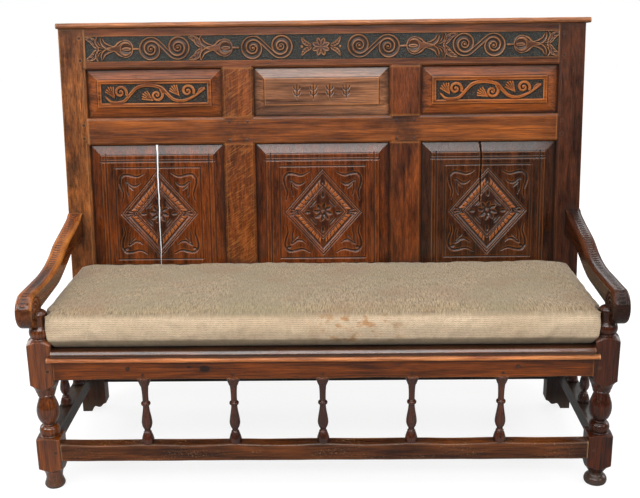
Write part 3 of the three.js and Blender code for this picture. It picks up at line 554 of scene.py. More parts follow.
def front_post(side_name, side, material):
    """A front post turned from square stock, with square blocks where the rails meet it."""
    low, top = POST_LEVELS["lower_block"], POST_LEVELS["upper_block"]
    block = lambda a, b: np.stack([np.linspace(a, b, 24), np.full(24, CORNER_SHARE * POST_SIZE)], axis=1)
    profile = np.vstack([
        run_profile(FOOT_SHARES[side_name], POST_SIZE, 0, low[0]),
        block(low[0] + MM, low[1] - MM),
        run_profile(WAIST_SHARES, POST_SIZE, low[1], top[0] - low[1]),
        block(top[0] + MM, top[1] - MM),
        run_profile(HEAD_SHARES, POST_SIZE, top[1], POST_LEVELS["neck_top"] - top[1]),
    ])
    node = f"front_post_{side_name}"
    middle = (side * (POST_INNER + POST_SIZE / 2), FRONT_Y + POST_SIZE / 2, 0)
    piece = turned(f"turned_{node}", profile, middle, material, POST_SIZE, 128)
    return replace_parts(piece, node)


SPINDLE_RADIUS = 0.0175
SPINDLE_PIN = 0.012
SPINDLE_SHARES = [
    [[1.0, 0], [1.02, 0.03], [0.98, 0.06], [0.86, 0.10], [0.72, 0.135]],
    [[0.60, 0.15], [0.66, 0.158], [0.56, 0.168]],
    [[0.48, 0.175], [0.52, 0.20], [0.72, 0.235], [0.86, 0.28], [0.86, 0.325], [0.76, 0.39], [0.62, 0.46],
     [0.53, 0.52], [0.50, 0.56]],
    [[0.56, 0.565], [0.72, 0.575], [0.78, 0.593], [0.72, 0.611], [0.56, 0.62]],
    [[0.50, 0.625], [0.50, 0.68], [0.52, 0.76], [0.58, 0.83], [0.66, 0.865]],
    [[0.74, 0.87], [0.80, 0.885], [0.82, 0.90]],
    [[0.90, 0.905], [1.04, 0.95], [1.14, 1.0]],
]


def spindle(node, material):
    """A turned spindle between its two pins, which stay hidden in the rails."""
    low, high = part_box(node)
    bottom, top = low.z + SPINDLE_PIN, high.z - SPINDLE_PIN
    profile = run_profile(SPINDLE_SHARES, SPINDLE_RADIUS, bottom, top - bottom, 7)
    middle = ((low.x + high.x) / 2, (low.y + high.y) / 2, 0)
    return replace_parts(turned(f"turned_{node}", profile, middle, material, None, 48), node)


# Moulded lengths: an outline in (y, z) carried along X with the unevenness of hand work

def moulded(name, outline, ends, step, material, matrix=None, uneven=0.0004, dip=None):
    """A length of that outline between two Xs. A dip says how far its points sink at an X."""
    outline = np.asarray(outline, float)
    stations = np.linspace(ends[0], ends[1], max(2, round((ends[1] - ends[0]) / step)) + 1)
    count = len(outline)
    away = outline - outline.mean(axis=0)
    away /= np.linalg.norm(away, axis=1)[:, None]
    vertices = []
    for x in stations:
        ring = np.column_stack([np.full(count, x), outline])
        shift = uneven * wobble(ring * np.array([1, 1.6, 1.6]), 34, len(name))
        ring[:, 1:] += away * shift[:, None]
        if dip is not None:
            ring[:, 2] -= dip(x, outline)
        vertices.append(ring)
    quads, closing = tube_faces(len(stations), count)
    faces = [(a, d, c, b) for a, b, c, d in quads] + [face[::-1] for face in closing]
    obj = new_object(name, np.vstack(vertices), faces, material, matrix=matrix)
    sharp_by_angle(obj)
    return obj


def sharp_by_angle(obj, degrees=38):
    """Keeps arrises crisp on a smooth-shaded piece and turns its faces out."""
    bm = bmesh.new()
    bm.from_mesh(obj.data)
    bmesh.ops.recalc_face_normals(bm, faces=bm.faces)
    limit = math.radians(degrees)
    for edge in bm.edges:
        edge.smooth = len(edge.link_faces) == 2 and edge.calc_face_angle(0) < limit
    bm.to_mesh(obj.data)
    bm.free()


def arc(centre, radius, start, end, steps):
    """Points of an arc between two angles in degrees."""
    angles = np.radians(np.linspace(start, end, steps + 1))
    return [(centre[0] + radius * math.cos(a), centre[1] + radius * math.sin(a)) for a in angles]


def dense(outline, step):
    """The closed outline with no edge longer than step."""
    out = []
    for a, b in zip(outline, np.roll(outline, -1, axis=0)):
        parts = max(1, math.ceil(np.linalg.norm(np.subtract(b, a)) / step))
        out.extend(np.asarray(a) + (np.asarray(b) - np.asarray(a)) * k / parts for k in range(parts))
    return np.array(out)


# Half the length of what runs between the posts, half a millimetre clear of each
BETWEEN_POSTS = POST_INNER - MM / 2

NOSING_ROLL = 0.012
# Steps in and down along the nosing's rubbed front edge, in millimetres
NOSING_EDGE_MM = ((8.5, 0), (6.0, 0.15), (4.6, 0.9), (3.9, 1.9), (3.4, 2.7), (1.4, 6.1), (0.9, 6.9),
                  (0.3, 8.0), (0, 9.2), (0.5, 10.6), (1.8, 11.6), (3.4, 11.95))
NOSING_COVE = 0.007
NOSING_EASE = 0.0015


def seat_front_board(material):
    """The front seat board: its nosing between the posts, and the ends that run behind them."""
    front, back = BOARD_LOW.y, BOARD_HIGH.y
    low, top = BOARD_LOW.z, BOARD_HIGH.z
    cove, under = front + NOSING_COVE, top - NOSING_ROLL
    outline = [(back, low), (back, top)]
    outline += [(front + y * MM, top - z * MM) for y, z in NOSING_EDGE_MM]
    outline += [(front + NOSING_ROLL / 2, under), (cove + NOSING_EASE, under)]
    outline += [(cove, under - NOSING_EASE), (cove, low)]
    reach = BETWEEN_POSTS
    main = moulded("seat_front_board", dense(outline, 0.02), (-reach, reach), 0.012, material)
    start = FRONT_Y + (POST_HIGH.y - POST_LOW.y) + MM / 2
    ends = [(start, low), (start, top), (back, top), (back, low)]
    for name, side in SIDES:
        span = sorted((side * reach, side * BOARD_HIGH.x))
        moulded(f"seat_front_board_end_{name}", dense(ends, 0.02), span, 0.012, material)
    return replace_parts(main, "seat_board_front")


RAIL_SAG = 0.003
RAIL_EASE = 0.002


def front_rail(material):
    """The front seat rail, its lower edge left uneven by hand."""
    low, high = RAIL_LOW, RAIL_HIGH
    lowest = low.z - RAIL_SAG / 2
    outline = [(low.y, lowest + RAIL_EASE), (low.y + RAIL_EASE, lowest), (high.y, lowest)]
    outline += [(high.y, high.z), (low.y, high.z)]

    def dip(x, points):
        uneven = 0.5 + 0.5 * math.sin(7.1 * x + 0.6) * math.sin(17.3 * x + 2.0)
        at_bottom = np.clip((high.z - points[:, 1]) / (high.z - low.z), 0, 1) ** 6
        return RAIL_SAG * uneven * at_bottom

    ends = (-BETWEEN_POSTS, BETWEEN_POSTS)
    piece = moulded("seat_rail_front_worn", dense(outline, 0.012), ends, 0.01, material, dip=dip)
    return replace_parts(piece, "seat_rail_front")


def seat_bead(material):
    """The half-round strip under the seat board's nosing."""
    radius = (BEAD_HIGH.z - BEAD_LOW.z) / 2
    outline = [(BEAD_HIGH.y, BEAD_LOW.z), (BEAD_HIGH.y, BEAD_HIGH.z)]
    outline += arc((BEAD_LOW.y + radius, BEAD_LOW.z + radius), radius, 90, 270, 14)
    bead = moulded("seat_bead_strip", outline, (BEAD_LOW.x, BEAD_HIGH.x), 0.008, material, uneven=0.0007)
    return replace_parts(bead, "seat_bead")


STRETCHER_ROUND = 0.003
STRETCHER_WEAR = 0.0045
STRETCHER_BAYS = 6


def worn_stretcher(material):
    """The front stretcher, its top edge worn into hollows by feet between the spindles."""
    low, high = STRETCHER_LOW, STRETCHER_HIGH
    r = 2 * STRETCHER_ROUND
    outline = [(low.y, low.z + STRETCHER_ROUND), (low.y + STRETCHER_ROUND, low.z)]
    outline += [(high.y, low.z), (high.y, high.z)]
    outline += arc((low.y + r, high.z - r), r, 90, 180, 5)
    ends = (-BETWEEN_POSTS, BETWEEN_POSTS)
    bay = 2 * POST_INNER / STRETCHER_BAYS

    def dip(x, points):
        worn = np.abs(math.sin(math.pi * (x + POST_INNER) / bay)) ** 1.5
        top = np.clip((points[:, 1] - low.z) / (high.z - low.z), 0, 1) ** 3
        front = np.clip((high.y - points[:, 0]) / (high.y - low.y), 0, 1)
        return STRETCHER_WEAR * worn * top * (0.25 + 0.75 * front)

    piece = moulded("stretcher_front_worn", dense(outline, 0.012), ends, 0.008, material, dip=dip)
    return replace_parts(piece, "stretcher_front")


CAPPING = 0.017
CAPPING_FRONT = 0.012
CAPPING_BACK = 0.006
CAPPING_WORN_END = 0.009
STILE_GAP = 0.0003


def capping(material):
    """The top board, rounded in front, its left end worn back."""
    low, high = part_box("top_capping")
    bottom, behind = STILE_TOP + STILE_GAP, STILE_DEPTH + CAPPING_BACK
    r = CAPPING / 2
    outline = [(behind, bottom), (behind, bottom + CAPPING)]
    outline += arc((r - CAPPING_FRONT, bottom + r), r, 90, 270, 12)
    ends = (low.x + CAPPING_WORN_END, high.x)
    piece = moulded("capping_board", dense(outline, 0.015), ends, 0.012, material, BACK, 0.0005)
    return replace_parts(piece, "top_capping")


# Arms

ARM_WIDTH = 0.046
ARM_FLARE = 0.008
ROLL_RADIUS = 0.050
ROLL_SETBACK = 0.013
ARM_RISE = 0.250
ROLL_TOP = 0.166
ROLL_CENTRE = (FRONT_Y + ROLL_SETBACK, ARM_HIGH.z - ARM_RISE + ROLL_TOP - ROLL_RADIUS)
ARM_TOP_SHARES = [[0.19, -0.02], [0.328, -0.02], [0.44, 0.06], [0.54, 0.23], [0.65, 0.49], [0.823, 0.73]]
ARM_UNDER_SHARES = [[0.85, 1], [0.73, 0.9], [0.63, 0.62], [0.51, 0.28], [0.42, 0.1], [0.25, 0.02]]
ARM_DEPTH = 0.085
ARM_FRONT_DEPTH = 0.059
ARM_ROUND = 0.009
ARM_CROWN = 0.0022
ARM_EASE = 0.0004
ARM_SHAKE = 0.0006
ARM_PROUD = 0.002
# Where hands have rubbed the top pale: how much, at which share of the length, how widely
ARM_HANDLED = ((0.6, 0.64, 0.25), (0.42, 0.1, 0.08))
VOLUTE_TURN = 0.0135
VOLUTE_REACH = 0.040
VOLUTE_GROOVE = 0.0034
VOLUTE_SINK = 0.0008
VOLUTE_BOSS = 0.0065
GOUGE_PITCH = 0.012
GOUGE_DEPTH = 0.0014


def back_face(z):
    """The Y of the back's front face at a height."""
    return BACK_Y + max(0.0, z - SEAT_RAIL_BOTTOM) * math.tan(BACK_RAKE) - STILE_GAP


def arm_outline():
    """The arm's side view as (y, z), anticlockwise from the top rear corner."""
    top_z, front_z = ARM_HIGH.z, ROLL_CENTRE[1] + ROLL_RADIUS
    rear, rear_under = back_face(top_z), back_face(top_z - ARM_DEPTH)
    length = rear - ROLL_CENTRE[0]
    at = lambda shares, low, high: [(ROLL_CENTRE[0] + y * length, low + z * (high - low)) for y, z in shares]
    top = [(ROLL_CENTRE[0], front_z)] + at(ARM_TOP_SHARES, front_z, top_z) + [(rear, top_z)]
    end = arc(ROLL_CENTRE, ROLL_RADIUS, -14, -14, 1)[0]
    under = [(rear_under, top_z - ARM_DEPTH)]
    under += at(ARM_UNDER_SHARES, front_z - ARM_FRONT_DEPTH, top_z - ARM_DEPTH) + [end]
    top_path = smooth_path(top, 10)[::-1]
    roll = np.array(arc(ROLL_CENTRE, ROLL_RADIUS, 90, 346, 44))[1:-1]
    under_path = smooth_path(under, 10)[::-1]
    return dense(np.vstack([top_path, roll, under_path]), 0.0026)


def volute_depth(points):
    """How deep the carved volute is at points of the roll's flat side."""
    away = np.asarray(points) - np.array(ROLL_CENTRE)
    r = np.hypot(away[:, 0], away[:, 1])
    angle = np.arctan2(away[:, 1], away[:, 0])
    phase = (r / VOLUTE_TURN - angle / (2 * math.pi)) % 1.0
    groove = np.exp(-((phase - 0.5) / 0.20) ** 2)
    inside = 1 / (1 + np.exp((r - VOLUTE_REACH) / 0.0012))
    boss = np.exp(-(r / VOLUTE_BOSS) ** 4)
    return inside * (VOLUTE_GROOVE * groove * (1 - boss) + VOLUTE_SINK) - VOLUTE_SINK * boss


def gouge_marks(s, across):
    """Depth of the row of curved punch marks along the arm's top, at a distance along and across it."""
    phase = (s / GOUGE_PITCH) % 1.0 - 0.5
    bow = 0.16 * (across / 0.008) ** 2
    mark = np.exp(-((phase + bow - 0.1) / 0.2) ** 2) * np.exp(-(across / 0.009) ** 4)
    return GOUGE_DEPTH * mark


def arm_stations(half):
    """Places across the arm: how far from its middle, and how far in its outline lies there."""
    turns = np.radians(np.linspace(0, 90, 6))
    flat = half - ARM_ROUND
    rounded = [(flat + ARM_ROUND * math.sin(a), ARM_ROUND * (1 - math.cos(a))) for a in turns]
    level = [(x, 0.0) for x in np.linspace(-flat, flat, 18)[1:-1]]
    return [(-x, inset) for x, inset in reversed(rounded)] + level + rounded


def arm(node, side, material):
    """An arm: rounded arrises, a row of punch marks on top and a volute cut into each side of the roll."""
    outline = arm_outline()
    count = len(outline)
    tangent = np.roll(outline, -1, axis=0) - np.roll(outline, 1, axis=0)
    tangent /= np.linalg.norm(tangent, axis=1)[:, None]
    inward = np.stack([-tangent[:, 1], tangent[:, 0]], axis=1)
    half, rear = ARM_WIDTH / 2, back_face(ARM_HIGH.z - ARM_DEPTH)
    walked = np.concatenate([[0], np.cumsum(np.linalg.norm(np.diff(outline, axis=0), axis=1))])
    on_top = (outline[:, 1] > ROLL_CENTRE[1]) & (inward[:, 1] < -0.3)
    lean = lambda y: ARM_FLARE * (1 - (y - FRONT_Y) / (BACK_Y - FRONT_Y))
    reach = (outline[:, 0] - outline[:, 0].min()) / np.ptp(outline[:, 0])
    handled = sum(much * np.exp(-((reach - at) / spread) ** 2) for much, at, spread in ARM_HANDLED)
    stations = arm_stations(half)
    vertices, worn = [], []
    for across, inset in stations:
        crown = ARM_CROWN * max(0.0, 1 - (across / half) ** 2)
        marks = np.where(on_top, gouge_marks(walked, across), 0.0)
        inset = inset * np.clip((rear - MM - outline[:, 0]) / 0.02, 0, 1)
        ring = outline + inward * (inset + marks - np.where(on_top, crown, 0.0) + ARM_EASE)[:, None]
        vertices.append(np.column_stack([across + lean(ring[:, 0]), ring]))
        rubbed = np.clip((abs(across) / half - 0.66) / 0.3, 0, 1)
        # Rubbed wear raises the value; the punch marks lower it, and the finish darkens them as painted shade
        worn.append(np.where(on_top, 0.62 * rubbed + handled, 0.3 * rubbed) - marks / MM)
    faces = tube_faces(len(stations), count)[0]
    total = np.vstack(vertices)
    for k, sign in ((0, -1), (len(stations) - 1, 1)):
        cap, cap_faces = filled(vertices[k][:, 1:], 0.0022)
        depth = volute_depth(cap)
        depth[:count] = 0
        x = sign * (half - depth) + lean(cap[:, 0])
        offset = len(total)
        index = [k * count + i if i < count else offset + i - count for i in range(len(cap))]
        total = np.vstack([total, np.column_stack([x, cap])[count:]])
        faces += [tuple(index[i] for i in f) for f in cap_faces]
    total[:, 0] = side * (HALF_WIDTH + ARM_PROUD - half) + side * total[:, 0]
    total += ARM_SHAKE * wobble(total, 22, 5)[:, None] * np.array([0.4, 0.5, 1.0])
    obj = new_object(f"scrolled_{node}", total, faces, material)
    worn = np.concatenate(worn)
    set_attribute(obj, "cavity", np.concatenate([worn, np.zeros(len(total) - len(worn))]))
    sharp_by_angle(obj, 50)
    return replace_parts(obj, node)


def filled(rim, step):
    """Triangles over an outline's inside, with a grid of points there. The rim's points come first."""
    count = len(rim)
    low, high = rim.min(axis=0), rim.max(axis=0)
    ys, zs = np.meshgrid(np.arange(low[0], high[0], step), np.arange(low[1], high[1], step))
    grid = np.column_stack([ys.ravel(), zs.ravel()])
    keep = np.zeros(len(grid), bool)
    nearest = np.full(len(grid), FAR)
    for a, b in zip(rim, np.roll(rim, -1, axis=0)):
        crosses = (a[1] > grid[:, 1]) != (b[1] > grid[:, 1])
        if crosses.any():
            x = a[0] + (grid[:, 1] - a[1]) / (b[1] - a[1] + 1e-12) * (b[0] - a[0])
            keep ^= crosses & (grid[:, 0] < x)
        edge = b - a
        t = np.clip(((grid - a) @ edge) / (edge @ edge + 1e-12), 0, 1)
        nearest = np.minimum(nearest, np.linalg.norm(grid - a - t[:, None] * edge, axis=1))
    inside = grid[keep & (nearest > 0.6 * step)]
    points = [Vector(p) for p in np.vstack([rim, inside])]
    edges = [(i, (i + 1) % count) for i in range(count)]
    out = delaunay_2d_cdt(points, edges, [], 1, 1e-7)
    if len(out[0]) != len(points):
        raise ValueError("the outline crosses itself")
    return np.array([tuple(p) for p in out[0]]), out[2]


# Carving: heights in millimetres over a grid, ground and motifs

CAVITY_REACH = 4.0
CAVITY_RANGE = 0.9


class Relief:
    """A carved face: x to the right, z up, zero in the middle, heights towards the viewer."""

    # How far round a path cells are looked at, in half widths
    NEAR = 1.5

    def __init__(self, width, height, cell):
        self.x = np.linspace(-width / 2, width / 2, round(width / cell) + 1)
        self.z = np.linspace(-height / 2, height / 2, round(height / cell) + 1)
        self.X, self.Z = np.meshgrid(self.x, self.z)
        self.h = np.zeros_like(self.X)
        self.ground = np.zeros_like(self.X)
        self.hole = np.zeros((len(self.z) - 1, len(self.x) - 1), bool)

    def strip(self, first, last):
        """The part between two columns, as a relief of its own."""
        part = copy.copy(self)
        part.x = self.x[first:last + 1]
        part.X, part.Z = self.X[:, first:last + 1], self.Z[:, first:last + 1]
        part.h, part.hole = self.h[:, first:last + 1], self.hole[:, first:last]
        part.ground = self.ground[:, first:last + 1]
        return part

    def window(self, low, high, margin):
        x0, x1 = np.searchsorted(self.x, [low[0] - margin, high[0] + margin])
        z0, z1 = np.searchsorted(self.z, [low[1] - margin, high[1] + margin])
        return slice(z0, z1), slice(x0, x1)

    def near(self, path, widths):
        """Round a path: the window, each cell's distance in half widths, and its share of the way."""
        path = np.asarray(path, float)
        widths = np.broadcast_to(np.asarray(widths, float), (len(path),))
        view = self.window(path.min(axis=0), path.max(axis=0), self.NEAR * widths.max() + 1)
        X, Z = self.X[view], self.Z[view]
        q, s = np.full(X.shape, FAR), np.zeros(X.shape)
        z_start, x_start = view[0].start, view[1].start
        for k in range(len(path) - 1):
            a, b = path[k], path[k + 1]
            step = b - a
            size = step @ step
            if size == 0:
                continue
            margin = self.NEAR * max(widths[k], widths[k + 1]) + 1
            inner = self.window(np.minimum(a, b), np.maximum(a, b), margin)
            rows = slice(inner[0].start - z_start, inner[0].stop - z_start)
            columns = slice(inner[1].start - x_start, inner[1].stop - x_start)
            dx, dz = X[rows, columns] - a[0], Z[rows, columns] - a[1]
            t = np.clip((dx * step[0] + dz * step[1]) / size, 0, 1)
            width = widths[k] + t * (widths[k + 1] - widths[k])
            r = np.hypot(dx - t * step[0], dz - t * step[1]) / np.maximum(width, 1e-6)
            better = r < q[rows, columns]
            q[rows, columns][better] = r[better]
            s[rows, columns][better] = ((k + t) / (len(path) - 1))[better]
        return view, q, s

    def lift(self, view, height, inside):
        """Raises the window to a height where inside is true and the face is lower."""
        part = self.h[view]
        np.copyto(part, np.maximum(part, height), where=inside)

    def band(self, path, widths, top, foot, hollow=0.0):
        """A raised band: rounded, or with two rims and a hollow between."""
        view, q, _ = self.near(path, widths)
        shape = np.sin(np.clip((1 - q) / 0.24, 0, 1) * math.pi / 2)
        if hollow:
            dish = hollow * np.clip(1 - (q / 0.62) ** 2, 0, 1)
            height = foot + (top - foot) * (shape - dish * shape)
        else:
            height = foot + (top - foot) * shape + 0.25 * (1 - np.minimum(q, 1) ** 2)
        self.lift(view, height, q < 1)

    def leaf(self, root, tip, bend, width, top, foot, veins):
        """A leaf blade from root to tip: pointed, with a sunk midrib and slanting veins."""
        root, tip = np.array(root, float), np.array(tip, float)
        along = tip - root
        across = np.array([-along[1], along[0]])
        path = smooth_path([root, root + along * 0.5 + across * bend, tip], 14)
        t = np.linspace(0, 1, len(path))
        widths = width * np.sin(math.pi * np.clip(t, 0.02, 0.995) ** 0.8) ** 0.75 + 0.15
        view, q, s = self.near(path, widths)
        edge = np.sin(np.clip((1 - q) / 0.30, 0, 1) * math.pi / 2)
        rib = 0.55 * np.exp(-(q / 0.16) ** 2)
        vein = 0.10 * np.cos(2 * math.pi * (s * veins - q * 0.9)) if veins else 0.0
        cup = 0.25 * np.clip(1 - np.abs(q - 0.45) / 0.35, 0, 1)
        self.lift(view, foot + (top - foot) * edge * (1 - rib - cup + vein), q < 1)

    def fan(self, root, direction, length, spread, flutes, top, foot):
        """A fluted fan leaf: gouged flutes that spread from a root."""
        angle = math.atan2(direction[1], direction[0])
        for k in range(flutes):
            share = (k + 0.5) / flutes - 0.5
            turn = angle + share * spread
            tip = (root[0] + length * math.cos(turn) * (1 - 0.25 * abs(share)),
                   root[1] + length * math.sin(turn) * (1 - 0.25 * abs(share)))
            path = np.linspace(root, tip, 12)
            widths = np.linspace(0.8, 0.40 * spread * length / flutes, 12)
            self.band(path, widths, top, foot)

    def boss(self, centre, radius, top, foot):
        view = self.window(centre, centre, radius + 1)
        r = np.hypot(self.X[view] - centre[0], self.Z[view] - centre[1]) / radius
        self.lift(view, foot + (top - foot) * np.sqrt(np.clip(1 - r**2, 0, 1)), r < 1)

    def cut(self, path, widths, depth, power=1.0):
        """A gouge or V cut along a path, deepest on its line."""
        view, q, _ = self.near(path, widths)
        self.h[view] -= depth * np.clip(1 - q, 0, 1) ** power * (q < 1)

    def taper_cut(self, path, width, depth):
        """A gouge cut that swells in the middle and runs out at both ends."""
        t = np.linspace(0, 1, len(path))
        self.cut(path, width * (0.18 + 0.82 * np.sin(math.pi * t) ** 0.8), depth, 0.8)

    def punch(self, where, pitch, radius, depth, seed):
        """Punch marks strewn over the cells where the mask is true."""
        rng = np.random.default_rng(seed)
        rows = math.ceil((self.z[-1] - self.z[0]) / pitch) + 3
        columns = math.ceil((self.x[-1] - self.x[0]) / pitch) + 3
        jitter = rng.uniform(0.12, 0.88, (rows + 2, columns + 2, 2))
        gx, gz = (self.X - self.x[0]) / pitch + 1, (self.Z - self.z[0]) / pitch + 1
        ix, iz = np.floor(gx).astype(int), np.floor(gz).astype(int)
        near = np.full(self.X.shape, FAR)
        for dz in (-1, 0, 1):
            for dx in (-1, 0, 1):
                spot = jitter[iz + dz, ix + dx]
                away = np.hypot(gx - ix - dx - spot[..., 0], gz - iz - dz - spot[..., 1])
                near = np.minimum(near, away)
        dent = np.clip(1 - (near * pitch / radius) ** 2, 0, 1)
        self.h -= depth * dent * where

    def cavity(self, reach):
        """Height against the local mean, from -1 in deep cuts to 1 on sharp ridges."""
        cell = self.x[1] - self.x[0]
        n = max(1, round(reach / cell))
        blur = self.h
        for axis in (0, 1):
            pad = [(n, n) if a == axis else (0, 0) for a in (0, 1)]
            run = np.cumsum(np.insert(np.pad(blur, pad, mode="edge"), 0, 0, axis=axis), axis=axis)
            size = blur.shape[axis]
            high = np.take(run, np.arange(2 * n + 1, size + 2 * n + 1), axis=axis)
            low = np.take(run, np.arange(size), axis=axis)
            blur = (high - low) / (2 * n + 1)
        return np.clip((self.h - blur) / CAVITY_RANGE, -1, 1)


def slab(name, relief, middle, back_depth, material):
    """A closed slab with the relief on its front, set in the back frame with its middle at (x, height)."""
    rows, columns = relief.h.shape
    index = np.arange(rows * columns).reshape(rows, columns)
    solid = ~relief.hole
    a, b = index[:-1, :-1][solid], index[:-1, 1:][solid]
    c, d = index[1:, 1:][solid], index[1:, :-1][solid]
    quads = np.stack([a, b, c, d], axis=1)
    edges = np.concatenate([quads[:, [i, (i + 1) % 4]] for i in range(4)])
    known = set(map(tuple, edges.tolist()))
    rim = {i: j for i, j in known if (j, i) not in known}
    used = np.zeros(rows * columns, bool)
    used[quads.ravel()] = True
    renumber = np.cumsum(used) - 1
    front = np.column_stack([
        middle[0] + relief.X.ravel() * MM,
        -relief.h.ravel() * MM,
        middle[1] + relief.Z.ravel() * MM,
    ])
    loop = [next(iter(rim))]
    while rim[loop[-1]] != loop[0]:
        loop.append(rim[loop[-1]])
    behind = front[loop].copy()
    behind[:, 1] = back_depth
    start = int(used.sum())
    faces = [tuple(f) for f in renumber[quads].tolist()]
    size = len(loop)
    for k in range(size):
        n = (k + 1) % size
        faces.append((renumber[loop[n]], renumber[loop[k]], start + k, start + n))
    faces.append(tuple(start + k for k in reversed(range(size))))
    obj = new_object(name, np.vstack([front[used], behind]), faces, material, matrix=BACK)
    values = np.concatenate([relief.cavity(CAVITY_REACH).ravel()[used], np.zeros(size)])
    set_attribute(obj, "cavity", values)
    set_attribute(obj, "ground", np.concatenate([relief.ground.ravel()[used], np.zeros(size)]))
    sharp_by_angle(obj, 60)
    return obj


# Motifs of the frieze, in millimetres, drawn for the left half

def spiral(centre, outer, inner, start, turns):
    """Points of a spiral from its outer end to its eye. Positive turns run anticlockwise inwards."""
    count = max(8, int(abs(turns) * 36))
    t = np.linspace(0, 1, count)
    angle = math.radians(start) + turns * 2 * math.pi * t
    radius = outer + (inner - outer) * t ** 0.92
    return np.column_stack([centre[0] + radius * np.cos(angle), centre[1] + radius * np.sin(angle)])


FRIEZE_TOP = 0.0
FRIEZE_FOOT = -4.05
FRIEZE_PLAY = 0.8
FRIEZE_CELL = 0.85


def flip(points, mirror):
    return [(mirror * x, z) for x, z in points]


# A big spiral's rim: turned by so many degrees, so far from its centre
SCROLL_RIMS = ((0, 38), (50, 37), (140, 36), (230, 33), (320, 28), (410, 25), (500, 20), (590, 15.5),
               (680, 12.5), (770, 10), (860, 8), (1080, 4))


def scroll_arm(centre, start):
    """A spiral strip from its outer end inwards: its middle line and half width between the rims' crests."""
    turned_by = np.linspace(0, 690, 70)
    outer, inner = (np.interp(turned_by + more, *zip(*SCROLL_RIMS)) for more in (0, 360))
    angle = np.radians(start + turned_by)
    middle = (outer + inner) / 2
    points = np.array(centre) + np.stack([middle * np.cos(angle), middle * np.sin(angle)], axis=1)
    return points, (outer - inner) / 2


def s_scroll(relief, first, second, mirror):
    """Two spirals joined into a lying S: the first is left over its top, the second entered from below."""
    a, wide_a = scroll_arm(first, 40)
    b, wide_b = scroll_arm(second, -140)
    a, wide_a = a[::-1], wide_a[::-1]
    bridge = smooth_path([a[-3], a[-1], (np.array(first) + np.array(second)) / 2, b[0], b[2]], 10)
    path = np.vstack([a[:-3], bridge, b[3:]])
    widths = np.concatenate([wide_a[:-3], np.linspace(wide_a[-3], wide_b[2], len(bridge)), wide_b[3:]]) / 0.76
    path[:, 0] *= mirror
    relief.band(path, np.maximum(widths, 3.0), FRIEZE_TOP, FRIEZE_FOOT, 0.8)
    for centre in (first, second):
        relief.boss((mirror * centre[0], centre[1]), 5.2, FRIEZE_TOP, FRIEZE_FOOT)


def tulip(relief, x, mirror):
    """A tulip lying on its side: a smooth bulb with an eye in it, its petals flaring to the left."""
    place = lambda points: flip([(px + x, pz) for px, pz in points], mirror)
    for up in (1, -1):
        petal = smooth_path(place([(-44, up * 4), (-60, up * 7), (-73, up * 17), (-79, up * 36)]), 9)
        relief.band(petal, np.interp(np.linspace(0, 1, len(petal)), (0, 0.4, 0.8, 1), (6, 10, 7.5, 1.8)),
                    FRIEZE_TOP, FRIEZE_FOOT, 0.62)
        leaf = smooth_path(place([(-66, up * 2), (-86, up * 9), (-94, up * 22), (-92, up * 37)]), 9)
        relief.band(leaf, np.interp(np.linspace(0, 1, len(leaf)), (0, 0.5, 1), (2, 7, 1.6)),
                    FRIEZE_TOP, FRIEZE_FOOT, 0.62)
    body = np.array(place([(-58, 0), (-44, 0), (-32, 0), (-22, 0), (-13, 0), (-6, 0)]))
    relief.band(body, np.array([5, 8, 13, 20, 27, 30]), FRIEZE_TOP, FRIEZE_FOOT)
    for up in (1, -1):
        groove = smooth_path(place([(-27, up * 11), (-16, up * 20), (-4, up * 24), (8, up * 20),
                                    (15, up * 11), (17.5, 0)]), 9)
        relief.cut(groove, 2.6, 2.2, 0.7)
    stalk = np.array(place([(20, 0), (40, -1)]))
    relief.band(stalk, 3.4, -1.2, FRIEZE_FOOT)
    eye = np.array(place([(-1, 0), (1, 0)]))
    relief.cut(eye, 16.5, 3.4, 0.32)
    lens = np.array(place([(-14 + 1.4 * k, -1) for k in range(21)]))
    swell = np.sin(math.pi * np.linspace(0.04, 0.96, 21)) ** 0.7
    relief.band(lens, 6.8 * swell, -0.5, -3.2)
    relief.cut(lens[4:-4], 1.1, 1.0)


def sprig(relief, x, mirror):
    """A pair of leaves opening to the left from a node."""
    for up, bend in ((1, -0.16), (-1, 0.16)):
        root = (mirror * x, up * 2.0)
        tip = (mirror * (x - 40), up * 35.5)
        relief.leaf(root, tip, bend * mirror, 11.5, FRIEZE_TOP - 0.2, FRIEZE_FOOT, 4)
    for up in (1, -1):
        curl = [(x + 4, up * 3), (x - 4, up * 17), (x - 1, up * 33), (x + 3, up * 38)]
        curl = smooth_path(flip(curl, mirror), 8)
        relief.band(curl, np.linspace(3.4, 1.3, len(curl)), -0.9, FRIEZE_FOOT)


def rosette(relief, centre, radius, petals, top, foot, turn):
    """Petals round a small boss, the first one turned by an angle."""
    for k in range(petals):
        angle = turn + 2 * math.pi * k / petals
        root = (centre[0] + 0.20 * radius * math.cos(angle), centre[1] + 0.20 * radius * math.sin(angle))
        tip = (centre[0] + radius * math.cos(angle), centre[1] + radius * math.sin(angle))
        relief.leaf(root, tip, 0.0, radius * 2.4 / petals, top, foot, 0)
    relief.boss(centre, radius * 0.2, top, foot)


# Places along the frieze, in millimetres from the middle of the bench
FRIEZE_LEFT_MM = {"sprigs": (-705, -378), "tulips": (-612, -299), "scrolls": ((-535, -450), (-214, -126))}
FRIEZE_RIGHT_MM = {"sprigs": (712, 388), "tulips": (624, 289), "scrolls": ((540, 449), (210, 120))}


